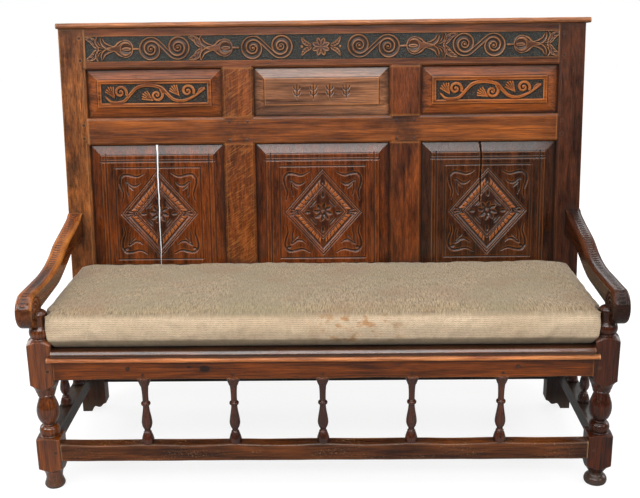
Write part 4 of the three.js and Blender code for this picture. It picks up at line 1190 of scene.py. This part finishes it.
def frieze(material):
    """The crest rail's carved band, in three lengths that meet end to end."""
    height = FRIEZE_HEIGHT / MM - FRIEZE_PLAY
    width = 2 * (STILE_INNER - FRIEZE_MARGIN) / MM - FRIEZE_PLAY
    relief = Relief(width, height, FRIEZE_CELL)
    relief.h[:] = FRIEZE_FOOT
    for places, mirror in ((FRIEZE_LEFT_MM, 1), (FRIEZE_RIGHT_MM, -1)):
        for x in places["sprigs"]:
            sprig(relief, mirror * x, mirror)
        for x in places["tulips"]:
            tulip(relief, mirror * x, mirror)
        for first, second in places["scrolls"]:
            s_scroll(relief, (mirror * first, -2.5), (mirror * second, 2.5), mirror)
    for side in (-1, 1):
        for up in (1, -1):
            root, tip = (side * 30, up * 3), (side * 62, up * 30)
            relief.leaf(root, tip, -0.14 * side * up, 8, FRIEZE_TOP, FRIEZE_FOOT, 5)
        relief.boss((side * 60, 0), 5, -0.8, FRIEZE_FOOT)
    rosette(relief, (0, 0), 29, 8, FRIEZE_TOP, FRIEZE_FOOT, math.pi / 8)
    relief.ground = np.clip(1 - (relief.h - FRIEZE_FOOT) / 2.0, 0, 1)
    relief.punch(relief.h < FRIEZE_FOOT + 0.05, 3.1, 1.5, 0.75, 11)
    uneven = wobble(np.column_stack([relief.X.ravel(), relief.Z.ravel()]), 0.09, 3)
    relief.h += 0.12 * uneven.reshape(relief.h.shape)
    middle = (0.0, CREST_BOTTOM + FRIEZE_LIFT + FRIEZE_HEIGHT / 2)
    back = FRIEZE_DEPTH + 0.0012
    cuts = np.linspace(0, len(relief.x) - 1, 4).astype(int)
    for k, (first, last) in enumerate(zip(cuts[:-1], cuts[1:]), 1):
        slab(f"frieze_carving_{k}", relief.strip(first, last), middle, back, material)


# Panels: heights are depths behind the front face of the back, turned round

PANEL_BEVEL = 32.0
TONGUE = 8.5
TONGUE_DEPTH = 15.3
PANEL_BACK = 0.0217
# A panel's grid cell, the depth of its field and the step up to it from the bevel
UPPER_FACE = (1.25, 5.0, 2.5)
LOWER_FACE = (1.5, 5.8, 2.6)


def panel_blank(width, height, cell, field, step):
    """A raised and fielded panel with its feathered edge, as a relief in negative millimetres."""
    relief = Relief(width + 2 * TONGUE, height + 2 * TONGUE, cell)
    edge = np.minimum(width / 2 - np.abs(relief.X), height / 2 - np.abs(relief.Z))
    share = np.clip(edge / PANEL_BEVEL, 0, 1)
    bevel = -TONGUE_DEPTH + share * (TONGUE_DEPTH - field - step)
    raised = np.clip((edge - PANEL_BEVEL) / 1.6, 0, 1)
    relief.h = bevel + raised * step
    return relief, edge


def scroll_panel(relief, edge):
    """The running scroll of an upper side panel: a waving stem, three spirals and fan leaves."""
    rim = PANEL_BEVEL + 13
    inside = np.clip((edge - rim) / 1.2, 0, 1)
    relief.h -= 4.2 * inside
    top, foot = -5.2, -9.0
    unit = 0.54
    at = lambda points: np.array([((x - 552) * unit, (436 - y) * unit) for x, y in points])
    stem = smooth_path(at([(262, 452), (300, 484), (370, 480), (415, 436), (455, 400), (520, 388), (590, 402),
                           (625, 436), (665, 472), (720, 480), (785, 455), (846, 412)]), 8)
    t = np.linspace(0, 1, len(stem))
    relief.band(stem, 1.6 + 4.6 * np.sin(math.pi * np.clip(t, 0, 0.93)) ** 0.4, top, foot)
    for x, y, start, turns in ((352, 428, -20, 1.65), (566, 446, 50, -1.65), (748, 424, -20, 1.65)):
        centre = at([(x, y)])[0]
        path = spiral(centre, 21, 2.5, start, turns * 0.85)
        relief.band(path, np.linspace(5.0, 3.4, len(path)), top, foot)
        relief.boss(centre, 4.6, top, foot)
    for x, y, aim in ((318, 462, (-0.50, 0.86)), (545, 478, (-0.80, 0.52)), (700, 452, (-0.62, 0.78))):
        relief.fan(at([(x, y)])[0], aim, 38, 1.05, 5, top, foot)
    tip = at([(806, 436), (850, 402)])
    relief.leaf(tip[0], tip[1], 0.1, 4.5, top, foot, 0)
    relief.ground = inside * np.clip(1 - (relief.h - foot) / 1.1, 0, 1)
    relief.punch((relief.h < foot + 0.35) & (edge > rim + 1.5), 3.0, 1.4, 0.6, 5)


def spray_panel(relief):
    """The upper middle panel: a plain field with four small cut sprays in a row."""
    for x in (-78, -26, 26, 78):
        relief.taper_cut(line((x, -25), (x, 24), 14), 2.6, 2.2)
        for side in (-1, 1):
            for z in (-6, 10):
                curl = smooth_path([(x, z - 8), (x + side * 8, z - 1), (x + side * 11, z + 9)], 8)
                relief.taper_cut(curl, 2.5, 2.0)


# Half width and half height of the lower panels' lozenge and of the frame round it
LOZENGE = (124.0, 141.0)
FRAME_LINES = (138.0, 150.0)
BORDER_PADS = 7
# The lozenge's grooves: how far out as a share of it, half width, depth
BORDER_GROOVES = ((0.995, 0.020, 2.6), (0.925, 0.018, 2.4), (0.615, 0.022, 2.8), (0.545, 0.015, 1.8))
# The curls of a spandrel: points in its upper right quarter, width and depth of the cut
SPANDREL_CUTS = (
    ([(44, 132), (58, 124), (72, 121), (92, 126), (110, 127), (121, 117), (124, 103), (120, 84), (114, 64),
      (118, 40)], 4.4, 3.8),
    ([(57, 101), (70, 92), (84, 92), (97, 101), (105, 105)], 4.0, 3.4),
    ([(105, 105), (100, 92), (100, 74), (95, 54)], 3.2, 2.6),
    ([(99, 97), (90, 86), (79, 76)], 2.8, 2.4),
)


def line(a, b, count=30):
    return np.linspace(a, b, count)


def notch(value, centre, half, depth):
    """Depth of a V groove where a field passes a value."""
    return depth * np.clip(1 - np.abs(value - centre) / half, 0, 1) ** 0.8


def lozenge_border(relief, seed):
    """The lozenge: a sunk border between grooves, with slanting pads that stay pale, round a dark field."""
    a, b = LOZENGE
    X, Z = relief.X, relief.Z
    across = np.abs(X) / a + np.abs(Z) / b
    for centre, half, depth in BORDER_GROOVES:
        relief.h -= notch(across, centre, half, depth)
    t = (across - 0.64) / 0.27
    sunk = np.clip(9 * np.minimum(t, 1 - t), 0, 1)
    along = np.abs(Z) / b / np.maximum(across, 0.1)
    slant = np.where(X * Z > 0, 1.0, -1.0)
    phase = (along - 0.5) * BORDER_PADS / 0.80 + 0.34 * slant * (t - 0.3)
    phase += 0.06 * wobble(np.column_stack([X.ravel(), Z.ravel()]), 0.05, seed).reshape(X.shape)
    from_cut = np.abs((phase + 0.5) % 1.0 - 0.5)
    pad = np.clip((from_cut - 0.035) / 0.06, 0, 1) ** 0.6
    pad *= np.clip(7.0 * (0.31 - np.abs(t - 0.33)), 0, 1) * (np.abs(along - 0.5) < 0.42)
    cove = 3.4 * np.sin(math.pi * np.clip((1 - t) / 0.36, 0, 1) * 0.5)
    relief.h -= sunk * (cove - (cove - 0.5) * pad)
    inside = np.clip((0.545 - across) / 0.03, 0, 1)
    rosette = np.clip((34 - np.hypot(X, Z)) / 6, 0, 1)
    relief.ground = inside * (1 - 0.7 * rosette) - sunk * pad


def lozenge_panel(relief, width, height, seed):
    """Incised frame lines, a lozenge with a padded border, a rosette and curls in the spandrels."""
    half_w, half_h = width / 2 - PANEL_BEVEL, height / 2 - PANEL_BEVEL
    for z in (-1, 1):
        for at, *tool in ((170, 3.0, 2.2, 0.5), (177, 1.6, 1.2)):
            relief.cut(line((-half_w, z * at), (half_w, z * at)), *tool)
    for x in (-1, 1):
        for at, *tool in ((166, 2.4, 2.2, 0.6), (153, 1.6, 1.2)):
            relief.cut(line((x * at, -half_h), (x * at, half_h)), *tool)
    w, h = FRAME_LINES
    for a, b in (((-w, -h), (w, -h)), ((w, -h), (w, h)), ((w, h), (-w, h)), ((-w, h), (-w, -h))):
        relief.cut(line(a, b), 2.3, 2.0, 0.7)
    lozenge_border(relief, seed)
    for sx in (-1, 1):
        for turn in (-0.5, 0.0, 0.5):
            tip = (sx * (LOZENGE[0] * 0.87), turn * 24)
            relief.taper_cut(line((sx * LOZENGE[0] * 0.655, turn * 5), tip, 10), 2.8, 2.4)
        for sz in (-1, 1):
            quarter_cuts(relief, sx, sz)
    for x, z in ((-50, 0), (50, 0), (0, 57), (0, -57)):
        relief.taper_cut(line((x * 0.84, z * 0.84), (x * 1.14, z * 1.14), 8), 5.2, 3.4)
    for k in range(8):
        angle = 2 * math.pi * (k + 0.5) / 8
        petal = ((6, angle), (17, angle + 0.30), (29, angle + 0.2))
        path = smooth_path([(r * math.cos(turn), r * math.sin(turn)) for r, turn in petal], 8)
        t = np.linspace(0, 1, len(path))
        relief.cut(path, 1.5 + 5.4 * np.sin(math.pi * t ** 0.8) ** 0.9, 4.2, 0.7)
    relief.cut(line((-0.1, 0), (0.1, 0), 3), 3.4, 2.0)


def quarter_cuts(relief, sx, sz):
    """One quarter of a lower panel's gouge cuts: the spandrel's curls and the bars inside the lozenge."""
    for points, width, depth in SPANDREL_CUTS:
        relief.taper_cut(smooth_path([(sx * x, sz * z) for x, z in points], 8), width, depth)
    if sz < 0:
        relief.taper_cut(line((sx * 106, sz * 113), (sx * 117, sz * 117), 8), 5.5, 3.4)
    middle = np.array([sx * 31.5, sz * 28.5])
    run = np.array([sx * LOZENGE[0], -sz * LOZENGE[1]]) / math.hypot(*LOZENGE)
    relief.taper_cut(line(middle - run * 15, middle + run * 15, 14), 3.0, 2.6)
    relief.taper_cut(line(middle * 0.84 - run * 11, middle * 0.84 + run * 11, 14), 2.0, 1.6)


# The left panel's open split: X at its top and foot, height of its foot, width at its top and foot
OPEN_SPLIT = (-0.3, -1.4, -214.0, 7.6, 3.0)
SPLIT_EASE = 26.0


def split_open(relief, x_top, x_bottom, bottom, width_top, width_bottom):
    """Opens a shrinkage split from the top edge down to a height, by moving two grid columns apart."""
    column = int(np.argmin(np.abs(relief.x - (x_top + x_bottom) / 2)))
    top = relief.z[-1]
    for row, z in enumerate(relief.z):
        share = np.clip((top - z) / (top - bottom), 0, 1)
        wander = 0.7 * math.sin(z / 23.0) + 0.35 * math.sin(z / 7.1)
        centre = x_top + (x_bottom - x_top) * share + wander * (1 - 0.3 * share)
        half = (width_top + (width_bottom - width_top) * share ** 0.8) / 2 if z >= bottom else 0.12
        left, right = relief.x[column], relief.x[column + 1]
        x = relief.X[row]
        near_left = np.clip(1 - (left - x) / SPLIT_EASE, 0, 1) * (x <= left)
        near_right = np.clip(1 - (x - right) / SPLIT_EASE, 0, 1) * (x >= right)
        relief.X[row] = x + near_left * (centre - half - left) + near_right * (centre + half - right)
    open_rows = relief.z[:-1] >= bottom
    relief.hole[open_rows, column] = True


def split_cut(relief):
    """A deep dark check in the right-hand panel that doesn't go through."""
    path = smooth_path([(-27, 222), (-24, 190), (-23, 150), (-25, 110), (-24, 70), (-26, 30)], 10)
    relief.cut(path, np.linspace(2.8, 1.3, len(path)), 9.0, 0.5)


def panels(materials):
    """The six panels, each carved over its whole face."""
    upper_h, lower_h, width = UPPER_OPENING / MM, LOWER_OPENING / MM, OPENING / MM
    for k, name in enumerate(("left", "centre", "right")):
        x = (k - 1) * PITCH
        relief, edge = panel_blank(width, upper_h, *UPPER_FACE)
        if name == "centre":
            spray_panel(relief)
        else:
            scroll_panel(relief, edge)
        piece = slab(f"carved_upper_{name}", relief, (x, UPPER_MIDDLE), PANEL_BACK,
                     materials[f"upper_{name}"])
        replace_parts(piece, f"panel_upper_{name}")
        relief, edge = panel_blank(width, lower_h, *LOWER_FACE)
        lozenge_panel(relief, width, lower_h, 20 + k)
        warp = wobble(np.column_stack([relief.X.ravel(), 0.3 * relief.Z.ravel()]), 0.03, 31 + k)
        relief.h += 0.35 * warp.reshape(relief.h.shape)
        if name == "left":
            split_open(relief, *OPEN_SPLIT)
        if name == "right":
            split_cut(relief)
        piece = slab(f"carved_lower_{name}", relief, (x, LOWER_MIDDLE), PANEL_BACK,
                     materials[f"lower_{name}"])
        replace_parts(piece, f"panel_lower_{name}")


# The CAD's own members: softened arrises and a finish of their own

ARRIS = 0.0013
PEG_ARRIS = 0.0006


def finish_node(node, material, arris=ARRIS):
    """Gives a CAD member its material and softens its arrises."""
    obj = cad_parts[node]
    for place in obj.material_slots:
        place.link = "OBJECT"
        place.material = material
    flat = obj.modifiers.new("merge_flat_faces", "DECIMATE")
    flat.decimate_type = "DISSOLVE"
    flat.angle_limit = math.radians(1)
    soft = obj.modifiers.new("soft_arrises", "BEVEL")
    soft.width = arris
    soft.segments = 2
    soft.limit_method = "ANGLE"
    soft.angle_limit = math.radians(40)


# Cushion

CUSHION_GRID = (132, 44)
BORDER_ROWS = 11
CUSHION_SWELL = 0.010
CUSHION_CORNER = 0.024
CUSHION_CROWN = 0.007
CUSHION_GAP = 0.0015
# The top seam's drop below the cushion's box in front, and how much lower it is at the back
SEAM_DROP = 0.006
SEAM_FALL = 0.013
BORDER_TUCK = 0.011
BORDER_BULGE = 0.003
BORDER_RIPPLE = 0.0014
UNDERSIDE_INSET = 0.014
SEAM_CREASE = 0.75
POST_HEAD_RADIUS = 0.0325


def cushion_plan(u, v, inset):
    """A point of the cushion's outline at grid place (u, v) from -1 to 1, with rounded corners."""
    front, back = CUSHION_LOW.y + inset, CUSHION_HIGH.y - inset
    half = (back - front) / 2
    y = (front + back) / 2 + v * half
    reach = CUSHION_HIGH.x - inset
    x = u * reach
    corner = CUSHION_CORNER
    dx = np.clip(abs(x) - (reach - corner), 0, corner) / corner
    dy = np.clip(abs(v) * half - (half - corner), 0, corner) / corner
    x = x - np.sign(x) * corner * dx * (1 - math.sqrt(1 - dy * dy / 2))
    y = y - np.sign(v) * corner * dy * (1 - math.sqrt(1 - dx * dx / 2))
    return x, y


def clear_of_posts(points):
    """Pushes the cushion's front corners away from the square blocks and round heads of the front posts."""
    block_top = POST_LEVELS["upper_block"][1]
    depth = POST_SIZE / 2
    keep = POST_HEAD_RADIUS + CUSHION_GAP
    for sign in (-1, 1):
        head = np.array([sign * (POST_INNER + depth), FRONT_Y + depth])
        away = points[:, :2] - head
        distance = np.linalg.norm(away, axis=1)
        near = (distance < keep) & (sign * points[:, 0] > 0)
        away[:, 0] = -sign * np.abs(away[:, 0])
        moved = head + away * (keep / np.maximum(distance, 1e-6))[:, None]
        points[near, :2] = moved[near]
    low = points[:, 2] < block_top + 2 * CUSHION_GAP
    beside = low & (points[:, 1] < FRONT_Y + POST_SIZE + CUSHION_GAP)
    limit = POST_INNER - CUSHION_GAP
    points[beside, 0] = np.clip(points[beside, 0], -limit, limit)
    return points


def cushion_mesh():
    """Top, underside and border as one closed mesh, and which vertices are seam, underside and border."""
    nx, ny = CUSHION_GRID
    low = CUSHION_LOW.z
    level = lambda v: CUSHION_HIGH.z - SEAM_DROP - SEAM_FALL * (v + 1) / 2
    vertices, index = [], {}

    def add(key, x, y, z):
        index[key] = len(vertices)
        vertices.append((x, y, z))

    for i in range(nx + 1):
        for j in range(ny + 1):
            u, v = 2 * i / nx - 1, 2 * j / ny - 1
            x, y = cushion_plan(u, v, 0.0)
            crown = CUSHION_CROWN * (1 - u**6) * (1 - v**4)
            add(("top", i, j), x, y, level(v) + crown)
    loop = [(i, 0) for i in range(nx)] + [(nx, j) for j in range(ny)]
    loop += [(i, ny) for i in range(nx, 0, -1)] + [(0, j) for j in range(ny, 0, -1)]
    for r in range(1, BORDER_ROWS):
        share = r / BORDER_ROWS
        tuck = BORDER_TUCK * max(0.0, (share - 0.7) / 0.3) ** 2
        bulge = -BORDER_BULGE * math.sin(math.pi * min(1.0, share * 1.2))
        for i, j in loop:
            x, y = cushion_plan(2 * i / nx - 1, 2 * j / ny - 1, tuck + bulge + 0.002)
            high = level(2 * j / ny - 1)
            add(("side", r, i, j), x, y, high + (low - high) * share)
    for i in range(nx + 1):
        for j in range(ny + 1):
            x, y = cushion_plan(2 * i / nx - 1, 2 * j / ny - 1, UNDERSIDE_INSET)
            add(("bottom", i, j), x, y, low)
    faces = []
    for i in range(nx):
        for j in range(ny):
            cell = ((i, j), (i + 1, j), (i + 1, j + 1), (i, j + 1))
            faces.append(tuple(index[("top", *corner)] for corner in cell))
            faces.append(tuple(index[("bottom", *cell[k])] for k in (0, 3, 2, 1)))

    def rim(r, i, j):
        if r == 0:
            return index[("top", i, j)]
        return index[("bottom", i, j)] if r == BORDER_ROWS else index[("side", r, i, j)]

    for r in range(BORDER_ROWS):
        for k, here in enumerate(loop):
            there = loop[(k + 1) % len(loop)]
            faces.append((rim(r, *here), rim(r + 1, *here), rim(r + 1, *there), rim(r, *there)))
    seams = [index[("top", i, j)] for i, j in loop]
    bottoms, border = ([index[key] for key in index if key[0] == part] for part in ("bottom", "side"))
    return np.array(vertices), faces, seams, bottoms, border


def inflate(obj, seams, bottoms):
    """Swells the cushion by cloth pressure, with its seams held loosely and its underside flat."""
    group = obj.vertex_groups.new(name="held")
    group.add(bottoms, 1.0, "REPLACE")
    group.add(seams, 0.75, "REPLACE")
    cloth = obj.modifiers.new("filling", "CLOTH")
    settings = cloth.settings
    settings.quality = 5
    settings.mass = 0.4
    settings.tension_stiffness = 12
    settings.compression_stiffness = 12
    settings.shear_stiffness = 6
    settings.bending_stiffness = 0.6
    settings.use_pressure = True
    settings.uniform_pressure_force = 3.2
    settings.shrink_min = -0.012
    settings.vertex_group_mass = "held"
    settings.pin_stiffness = 0.6
    settings.effector_weights.gravity = 0
    cloth.collision_settings.use_collision = False
    scene = bpy.context.scene
    cloth.point_cache.frame_end = 24
    for number in range(1, 21):
        scene.frame_set(number)
    evaluated = obj.evaluated_get(bpy.context.evaluated_depsgraph_get())
    moved = np.zeros(len(obj.data.vertices) * 3)
    evaluated.data.vertices.foreach_get("co", moved)
    obj.modifiers.remove(cloth)
    scene.frame_set(1)
    return moved.reshape(-1, 3)


def swollen(obj, rest, seams, bottoms):
    """The cushion's vertices after the filling has swelled it, none moved further than the limit."""
    move = inflate(obj, seams, bottoms) - rest
    size = np.linalg.norm(move, axis=1)
    limit = np.minimum(1.0, CUSHION_SWELL / np.maximum(size, 1e-9))
    return rest + move * limit[:, None]


def seat_cushion(material):
    """The loose cushion: swelled by cloth pressure, a little uneven, and kept off the posts."""
    rest, faces, seams, bottoms, border = cushion_mesh()
    obj = new_object("loose_cushion", rest, faces, material, "cushion")
    shaped = swollen(obj, rest, seams, bottoms)
    plan = shaped[:, :2]
    top_count = (CUSHION_GRID[0] + 1) * (CUSHION_GRID[1] + 1)
    soft = 0.0022 * wobble(plan * np.array([0.6, 1.0]), 26, 3) + 0.0012 * wobble(plan, 60, 8)
    shaped[:top_count, 2] += soft[:top_count]
    for number in border:
        x, y, z = rest[number]
        shaped[number, 1] += BORDER_RIPPLE * wobble([(x, y, 2.5 * z)], 34, 6)[0]
    shaped[:, 2] = np.clip(shaped[:, 2], CUSHION_LOW.z, CUSHION_HIGH.z + CUSHION_SWELL)
    limit_x = CUSHION_HIGH.x + CUSHION_GAP
    shaped[:, 0] = np.clip(shaped[:, 0], -limit_x, limit_x)
    shaped = clear_of_posts(shaped)
    in_border = np.zeros(len(rest))
    in_border[border] = 1.0
    in_border[seams] = 0.35
    in_border[bottoms] = 1.0
    obj.data.vertices.foreach_set("co", shaped.ravel())
    obj.data.update()
    set_attribute(obj, "border", in_border)
    crease = obj.data.attributes.new("crease_edge", "FLOAT", "EDGE")
    ring = set(seams)
    values = [SEAM_CREASE if ring.issuperset(edge.vertices) else 0.0 for edge in obj.data.edges]
    crease.data.foreach_set("value", values)
    subdivide = obj.modifiers.new("fine_surface", "SUBSURF")
    subdivide.levels = 1
    subdivide.render_levels = 1
    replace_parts(obj, "cushion")


# Small things: peg ends that the photograph shows

PEG_STEPS = 14
# The rings of a peg's proud end: share of its radius, millimetres out
PEG_RINGS = ((1.0, 0.0), (1.0, 0.7), (0.82, 1.05), (0.4, 1.2))


def peg_end(name, x, height, material, in_back=True, radius=0.0043):
    """The proud end of an oak peg, slightly uneven, in the back's frame or on the seat rail."""
    vertices = []
    for scale, out in PEG_RINGS:
        for k in range(PEG_STEPS):
            angle = 2 * math.pi * k / PEG_STEPS
            r = radius * scale * (1 + 0.08 * math.sin(3 * angle + x * 90))
            vertices.append((x + r * math.cos(angle), -out * MM, height + r * math.sin(angle)))
    quads, ends = tube_faces(len(PEG_RINGS), PEG_STEPS)
    matrix = BACK if in_back else Matrix.Translation((0, FRONT_Y, 0))
    obj = new_object(name, vertices, quads + ends, material, matrix=matrix)
    sharp_by_angle(obj)


def extra_pegs(material):
    """Pegs that pin the muntins and the spindle tops."""
    edge = MUNTIN / 2
    for name, side in SIDES:
        muntin_x = side * PITCH / 2
        middle = REAR_RAIL + LOWER_OPENING
        for k, dx in enumerate((-edge * 0.55, edge * 0.55)):
            peg_end(f"peg_muntin_low_{name}_{k}", muntin_x + dx, middle + 0.013, material)
            peg_end(f"peg_muntin_high_{name}_{k}", muntin_x + dx, middle + MIDDLE_RAIL - 0.016, material)
        peg_end(f"peg_bearer_{name}", side * 0.545, SEAT_RAIL_BOTTOM + 0.030, material, False, 0.006)
    for k in range(1, 6):
        low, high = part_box(f"spindle_front_{k}")
        peg_end(f"peg_spindle_{k}", (low.x + high.x) / 2, SEAT_RAIL_BOTTOM + 0.011, material, False, 0.0038)


# Floor and light

FLOOR_HALF = 9.0
WORLD_LEVEL = 0.12
MIRRORED_LEVEL = 0.4
LIGHT_TARGET = (0, 0, 0.6)
# Each light: place, size, power
LIGHTS = {
    "front_light": ((-0.4, -3.5, 3.1), (4.2, 1.3), 91),
    "low_light": ((-0.15, -4.6, 2.65), (1.7, 0.7), 38),
    "left_light": ((-2.9, -2.0, 2.4), (1.4, 1.4), 40),
    "right_light": ((2.9, -2.4, 2.0), (1.4, 1.4), 20),
    "back_light": ((0.9, 3.4, 2.6), (3.0, 1.4), 34),
    "left_side_light": ((-3.4, 1.1, 1.7), (1.6, 1.6), 26),
    "right_side_light": ((3.4, 1.1, 1.7), (1.6, 1.6), 26),
    "top_light": ((0.0, -0.5, 3.2), (4.2, 2.2), 60),
}


def stage():
    """A pale floor that keeps the bench's shadow and reads white further out."""
    mesh = bpy.data.meshes.new("floor")
    corners = [(x * FLOOR_HALF, y * FLOOR_HALF, 0) for x, y in ((-1, -1), (1, -1), (1, 1), (-1, 1))]
    mesh.from_pydata(corners, [], [(0, 1, 2, 3)])
    floor = bpy.data.objects.new("floor", mesh)
    bpy.context.scene.collection.objects.link(floor)
    s = Shader("floor_white")
    s.surface.inputs["Base Color"].default_value = (0.28, 0.28, 0.28, 1)
    s.surface.inputs["Roughness"].default_value = 0.9
    s.surface.inputs["Specular IOR Level"].default_value = 0.1
    distance = s.add("ShaderNodeVectorMath", operation="LENGTH")
    s.feed(distance.inputs[0], s.add("ShaderNodeNewGeometry").outputs["Position"])
    rays = s.add("ShaderNodeLightPath")
    near = s.span(distance.outputs["Value"], 0.7, 2.2, 0.8, 1.0)
    far = s.span(distance.outputs["Value"], 2, 4, 0.1, 0)
    glow = s.plus(s.times(near, rays.outputs["Is Camera Ray"]), s.times(far, s.mirrored(rays)))
    s.surface.inputs["Emission Color"].default_value = (1, 1, 1, 1)
    s.feed(s.surface.inputs["Emission Strength"], glow)
    mesh.materials.append(s.material)


def area_light(name, place, size, power):
    """A plain soft light that faces the bench."""
    data = bpy.data.lights.new(name, "AREA")
    data.shape = "RECTANGLE"
    data.size, data.size_y = size
    data.energy = power
    lamp = bpy.data.objects.new(name, data)
    lamp.location = place
    toward = Vector(LIGHT_TARGET) - Vector(place)
    lamp.rotation_euler = toward.to_track_quat("-Z", "Y").to_euler()
    bpy.context.scene.collection.objects.link(lamp)


def backdrop():
    """A dim studio whose backdrop reads white to the camera and, behind the bench, in reflections."""
    world = bpy.data.worlds.new("studio")
    bpy.context.scene.world = world
    world.use_nodes = True
    nodes = Nodes(world.node_tree)
    output = nodes.add("ShaderNodeOutputWorld")
    background = nodes.add("ShaderNodeBackground")
    background.inputs["Color"].default_value = (1, 1, 1, 1)
    nodes.feed(output.inputs["Surface"], background.outputs[0])
    rays = nodes.add("ShaderNodeLightPath")
    behind = nodes.maths("GREATER_THAN", nodes.split(nodes.coords("Generated"))[1], 0.1)
    shown = nodes.times(nodes.times(nodes.mirrored(rays), behind), MIRRORED_LEVEL)
    white = nodes.most(rays.outputs["Is Camera Ray"], shown)
    nodes.feed(background.inputs["Strength"], nodes.most(white, WORLD_LEVEL))


# Finishes

RAIL_KNOTS = ((-0.329, 0.381, 0.011), (-0.372, 0.386, 0.005))
# Two tones of a punched ground, dark and pale, the pale specks being painted glints: the upper panels' and
# the crest rail's
PANEL_GROUND = ("10100e", "565249")
CREST_GROUND = ("070907", "464a41")
# Each finish: grain axis; dark, light and worn tones; seed; what sets it apart
FINISHES = {
    "rail": ("X", "401a06", "a4581e", "c07a40", 1, dict(joints=(-PITCH / 2, PITCH / 2))),
    "seat_rail": ("X", "301203", "984a12", "bc743a", 19, dict(knots=RAIL_KNOTS)),
    "crest": ("X", "301408", "8e4c24", "b47c50", 2, {}),
    "carving": ("X", "200c05", "6e3e20", "a8744c", 3,
                dict(gloss=0.30, wear=1.1, sunk="0e0906", ends=0.0, stipple=CREST_GROUND, carved=True)),
    # The stile, post and arm finishes come in left and right copies: the left lighter as painted light, the
    # right darker as painted shade
    "stile_left": ("Z", "54280f", "ac6630", "cc945c", 4, dict(joints=(-HALF_WIDTH,), shade=0.6)),
    "stile_right": ("Z", "1c0a03", "5c2c10", "844a24", 5, dict(shade=0.6)),
    "muntin": ("Z", "2c1003", "8a4210", "ac6828", 6, {}),
    "muntin_marked": ("Z", "321303", "8e4612", "b87434", 6, dict(ray=0.34)),
    "capping": ("X", "623218", "c87e4c", "e8b488", 7, dict(gloss=0.28, ends=0.2)),
    # Left and right copies: painted light on the left, painted shade on the right
    "turned_left": ("Z", "341203", "984c10", "b06a34", 8, dict(gloss=0.17, ends=0.5, coat=1.0)),
    "turned_right": ("Z", "1c0802", "622806", "804422", 27, dict(gloss=0.17, ends=0.5, coat=0.45)),
    "spindle": ("Z", "1c0902", "5a2609", "8e4c28", 9, dict(gloss=0.17, ends=0.6, coat=1.0)),
    # Left and right copies: painted light on the left, painted shade on the right
    "arm_left": ("Y", "3a1806", "a8561c", "d4843e", 10, dict(gloss=0.2, wear=1.25, ends=0.6, coat=0.5)),
    "arm_right": ("Y", "1a0a04", "48200a", "6a3818", 11, dict(gloss=0.26, wear=0.55, coat=0.1)),
    "seat": ("X", "200d05", "683412", "a06638", 12, dict(gloss=0.16, ends=0.4, coat=1.0)),
    "bead": ("X", "984418", "f09858", "fcc08c", 13, dict(gloss=0.30, ends=0.3)),
    "stretcher": ("X", "2c1206", "80441a", "c8986c", 14, dict(gloss=0.26, wear=1.3, flecks=0.7)),
    # The inside finish is near black: painted shade on the rails, stretchers and bearers under the seat
    "inside": ("Y", "1c120c", "4c3520", "705842", 15, dict(gloss=0.36)),
    "peg": ("Y", "140b07", "342014", "5c3a26", 16, dict(gloss=0.4, ends=0.0)),
    "board": ("X", "2c1a10", "604026", "86623f", 18, dict(gloss=0.5)),
}
# The right lower panel's darker tones are painted shade
LOWER_TONES = {"left": ("1c0902", "843d0b"), "centre": ("1b0802", "823b0c"), "right": ("140602", "582a0a")}
LOWER_LOOK = dict(gloss=0.22, wear=0.45, shade_and_dirt=0.85, sunk="140a06", carved=True, coat=0.5)
UPPER_LOOK = dict(gloss=0.26, sunk="180c07", stipple=PANEL_GROUND, carved=True)


def finishes():
    """Every oak finish, by the pieces that carry it."""
    table = dict(FINISHES)
    for k, (name, tones) in enumerate(LOWER_TONES.items()):
        table[f"lower_{name}"] = ("Z", *tones, "ac6836", 20 + k, LOWER_LOOK)
        # The upper middle panel's paler, greyer tones are a painted reflection of sheen on its field
        tones, coat = (("44230f", "ac7048"), 0.9) if name == "centre" else (("341405", "a8561a"), 0.1)
        table[f"upper_{name}"] = ("X", *tones, "c07840", 24 + k, dict(UPPER_LOOK, coat=coat))
    return {key: oak(f"oak_{key}", *tones, **look) for key, (*tones, look) in table.items()}


def dress_nodes(found):
    """Gives each CAD member that stays its finish and softened arrises."""
    # Members under the seat take the inside finish, which paints their shade
    rails = {"middle_rail": "rail", "crest_rail": "crest", "seat_rail_rear": "board",
             "stretcher_rear": "inside", "seat_board_middle": "board", "seat_board_rear": "board"}
    for name, _ in SIDES:
        rails[f"rear_post_{name}"] = f"stile_{name}"
        for kind in ("muntin_upper", "muntin_lower"):
            rails[f"{kind}_{name}"] = "muntin_marked" if name == "left" else "muntin"
        for kind in ("seat_rail", "stretcher", "seat_bearer"):
            rails[f"{kind}_{name}"] = "inside"
    for node, finish in rails.items():
        finish_node(node, found[finish])
    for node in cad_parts:
        if node.startswith("peg_"):
            finish_node(node, found["peg"], PEG_ARRIS)


def build():
    found = finishes()
    dress_nodes(found)
    for name, side in SIDES:
        front_post(name, side, found[f"turned_{name}"])
        arm(f"arm_{name}", side, found[f"arm_{name}"])
    for node in sorted(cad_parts):
        if node.startswith("spindle_"):
            spindle(node, found["spindle"])
    seat_front_board(found["seat"])
    front_rail(found["seat_rail"])
    seat_bead(found["bead"])
    worn_stretcher(found["stretcher"])
    capping(found["capping"])
    frieze(found["carving"])
    panels(found)
    extra_pegs(found["peg"])
    seat_cushion(cushion_cloth())


bpy.context.scene.view_settings.view_transform = "Standard"
place_camera()
build()
stage()
for light, (place, size, power) in LIGHTS.items():
    area_light(light, place, size, power)
backdrop()
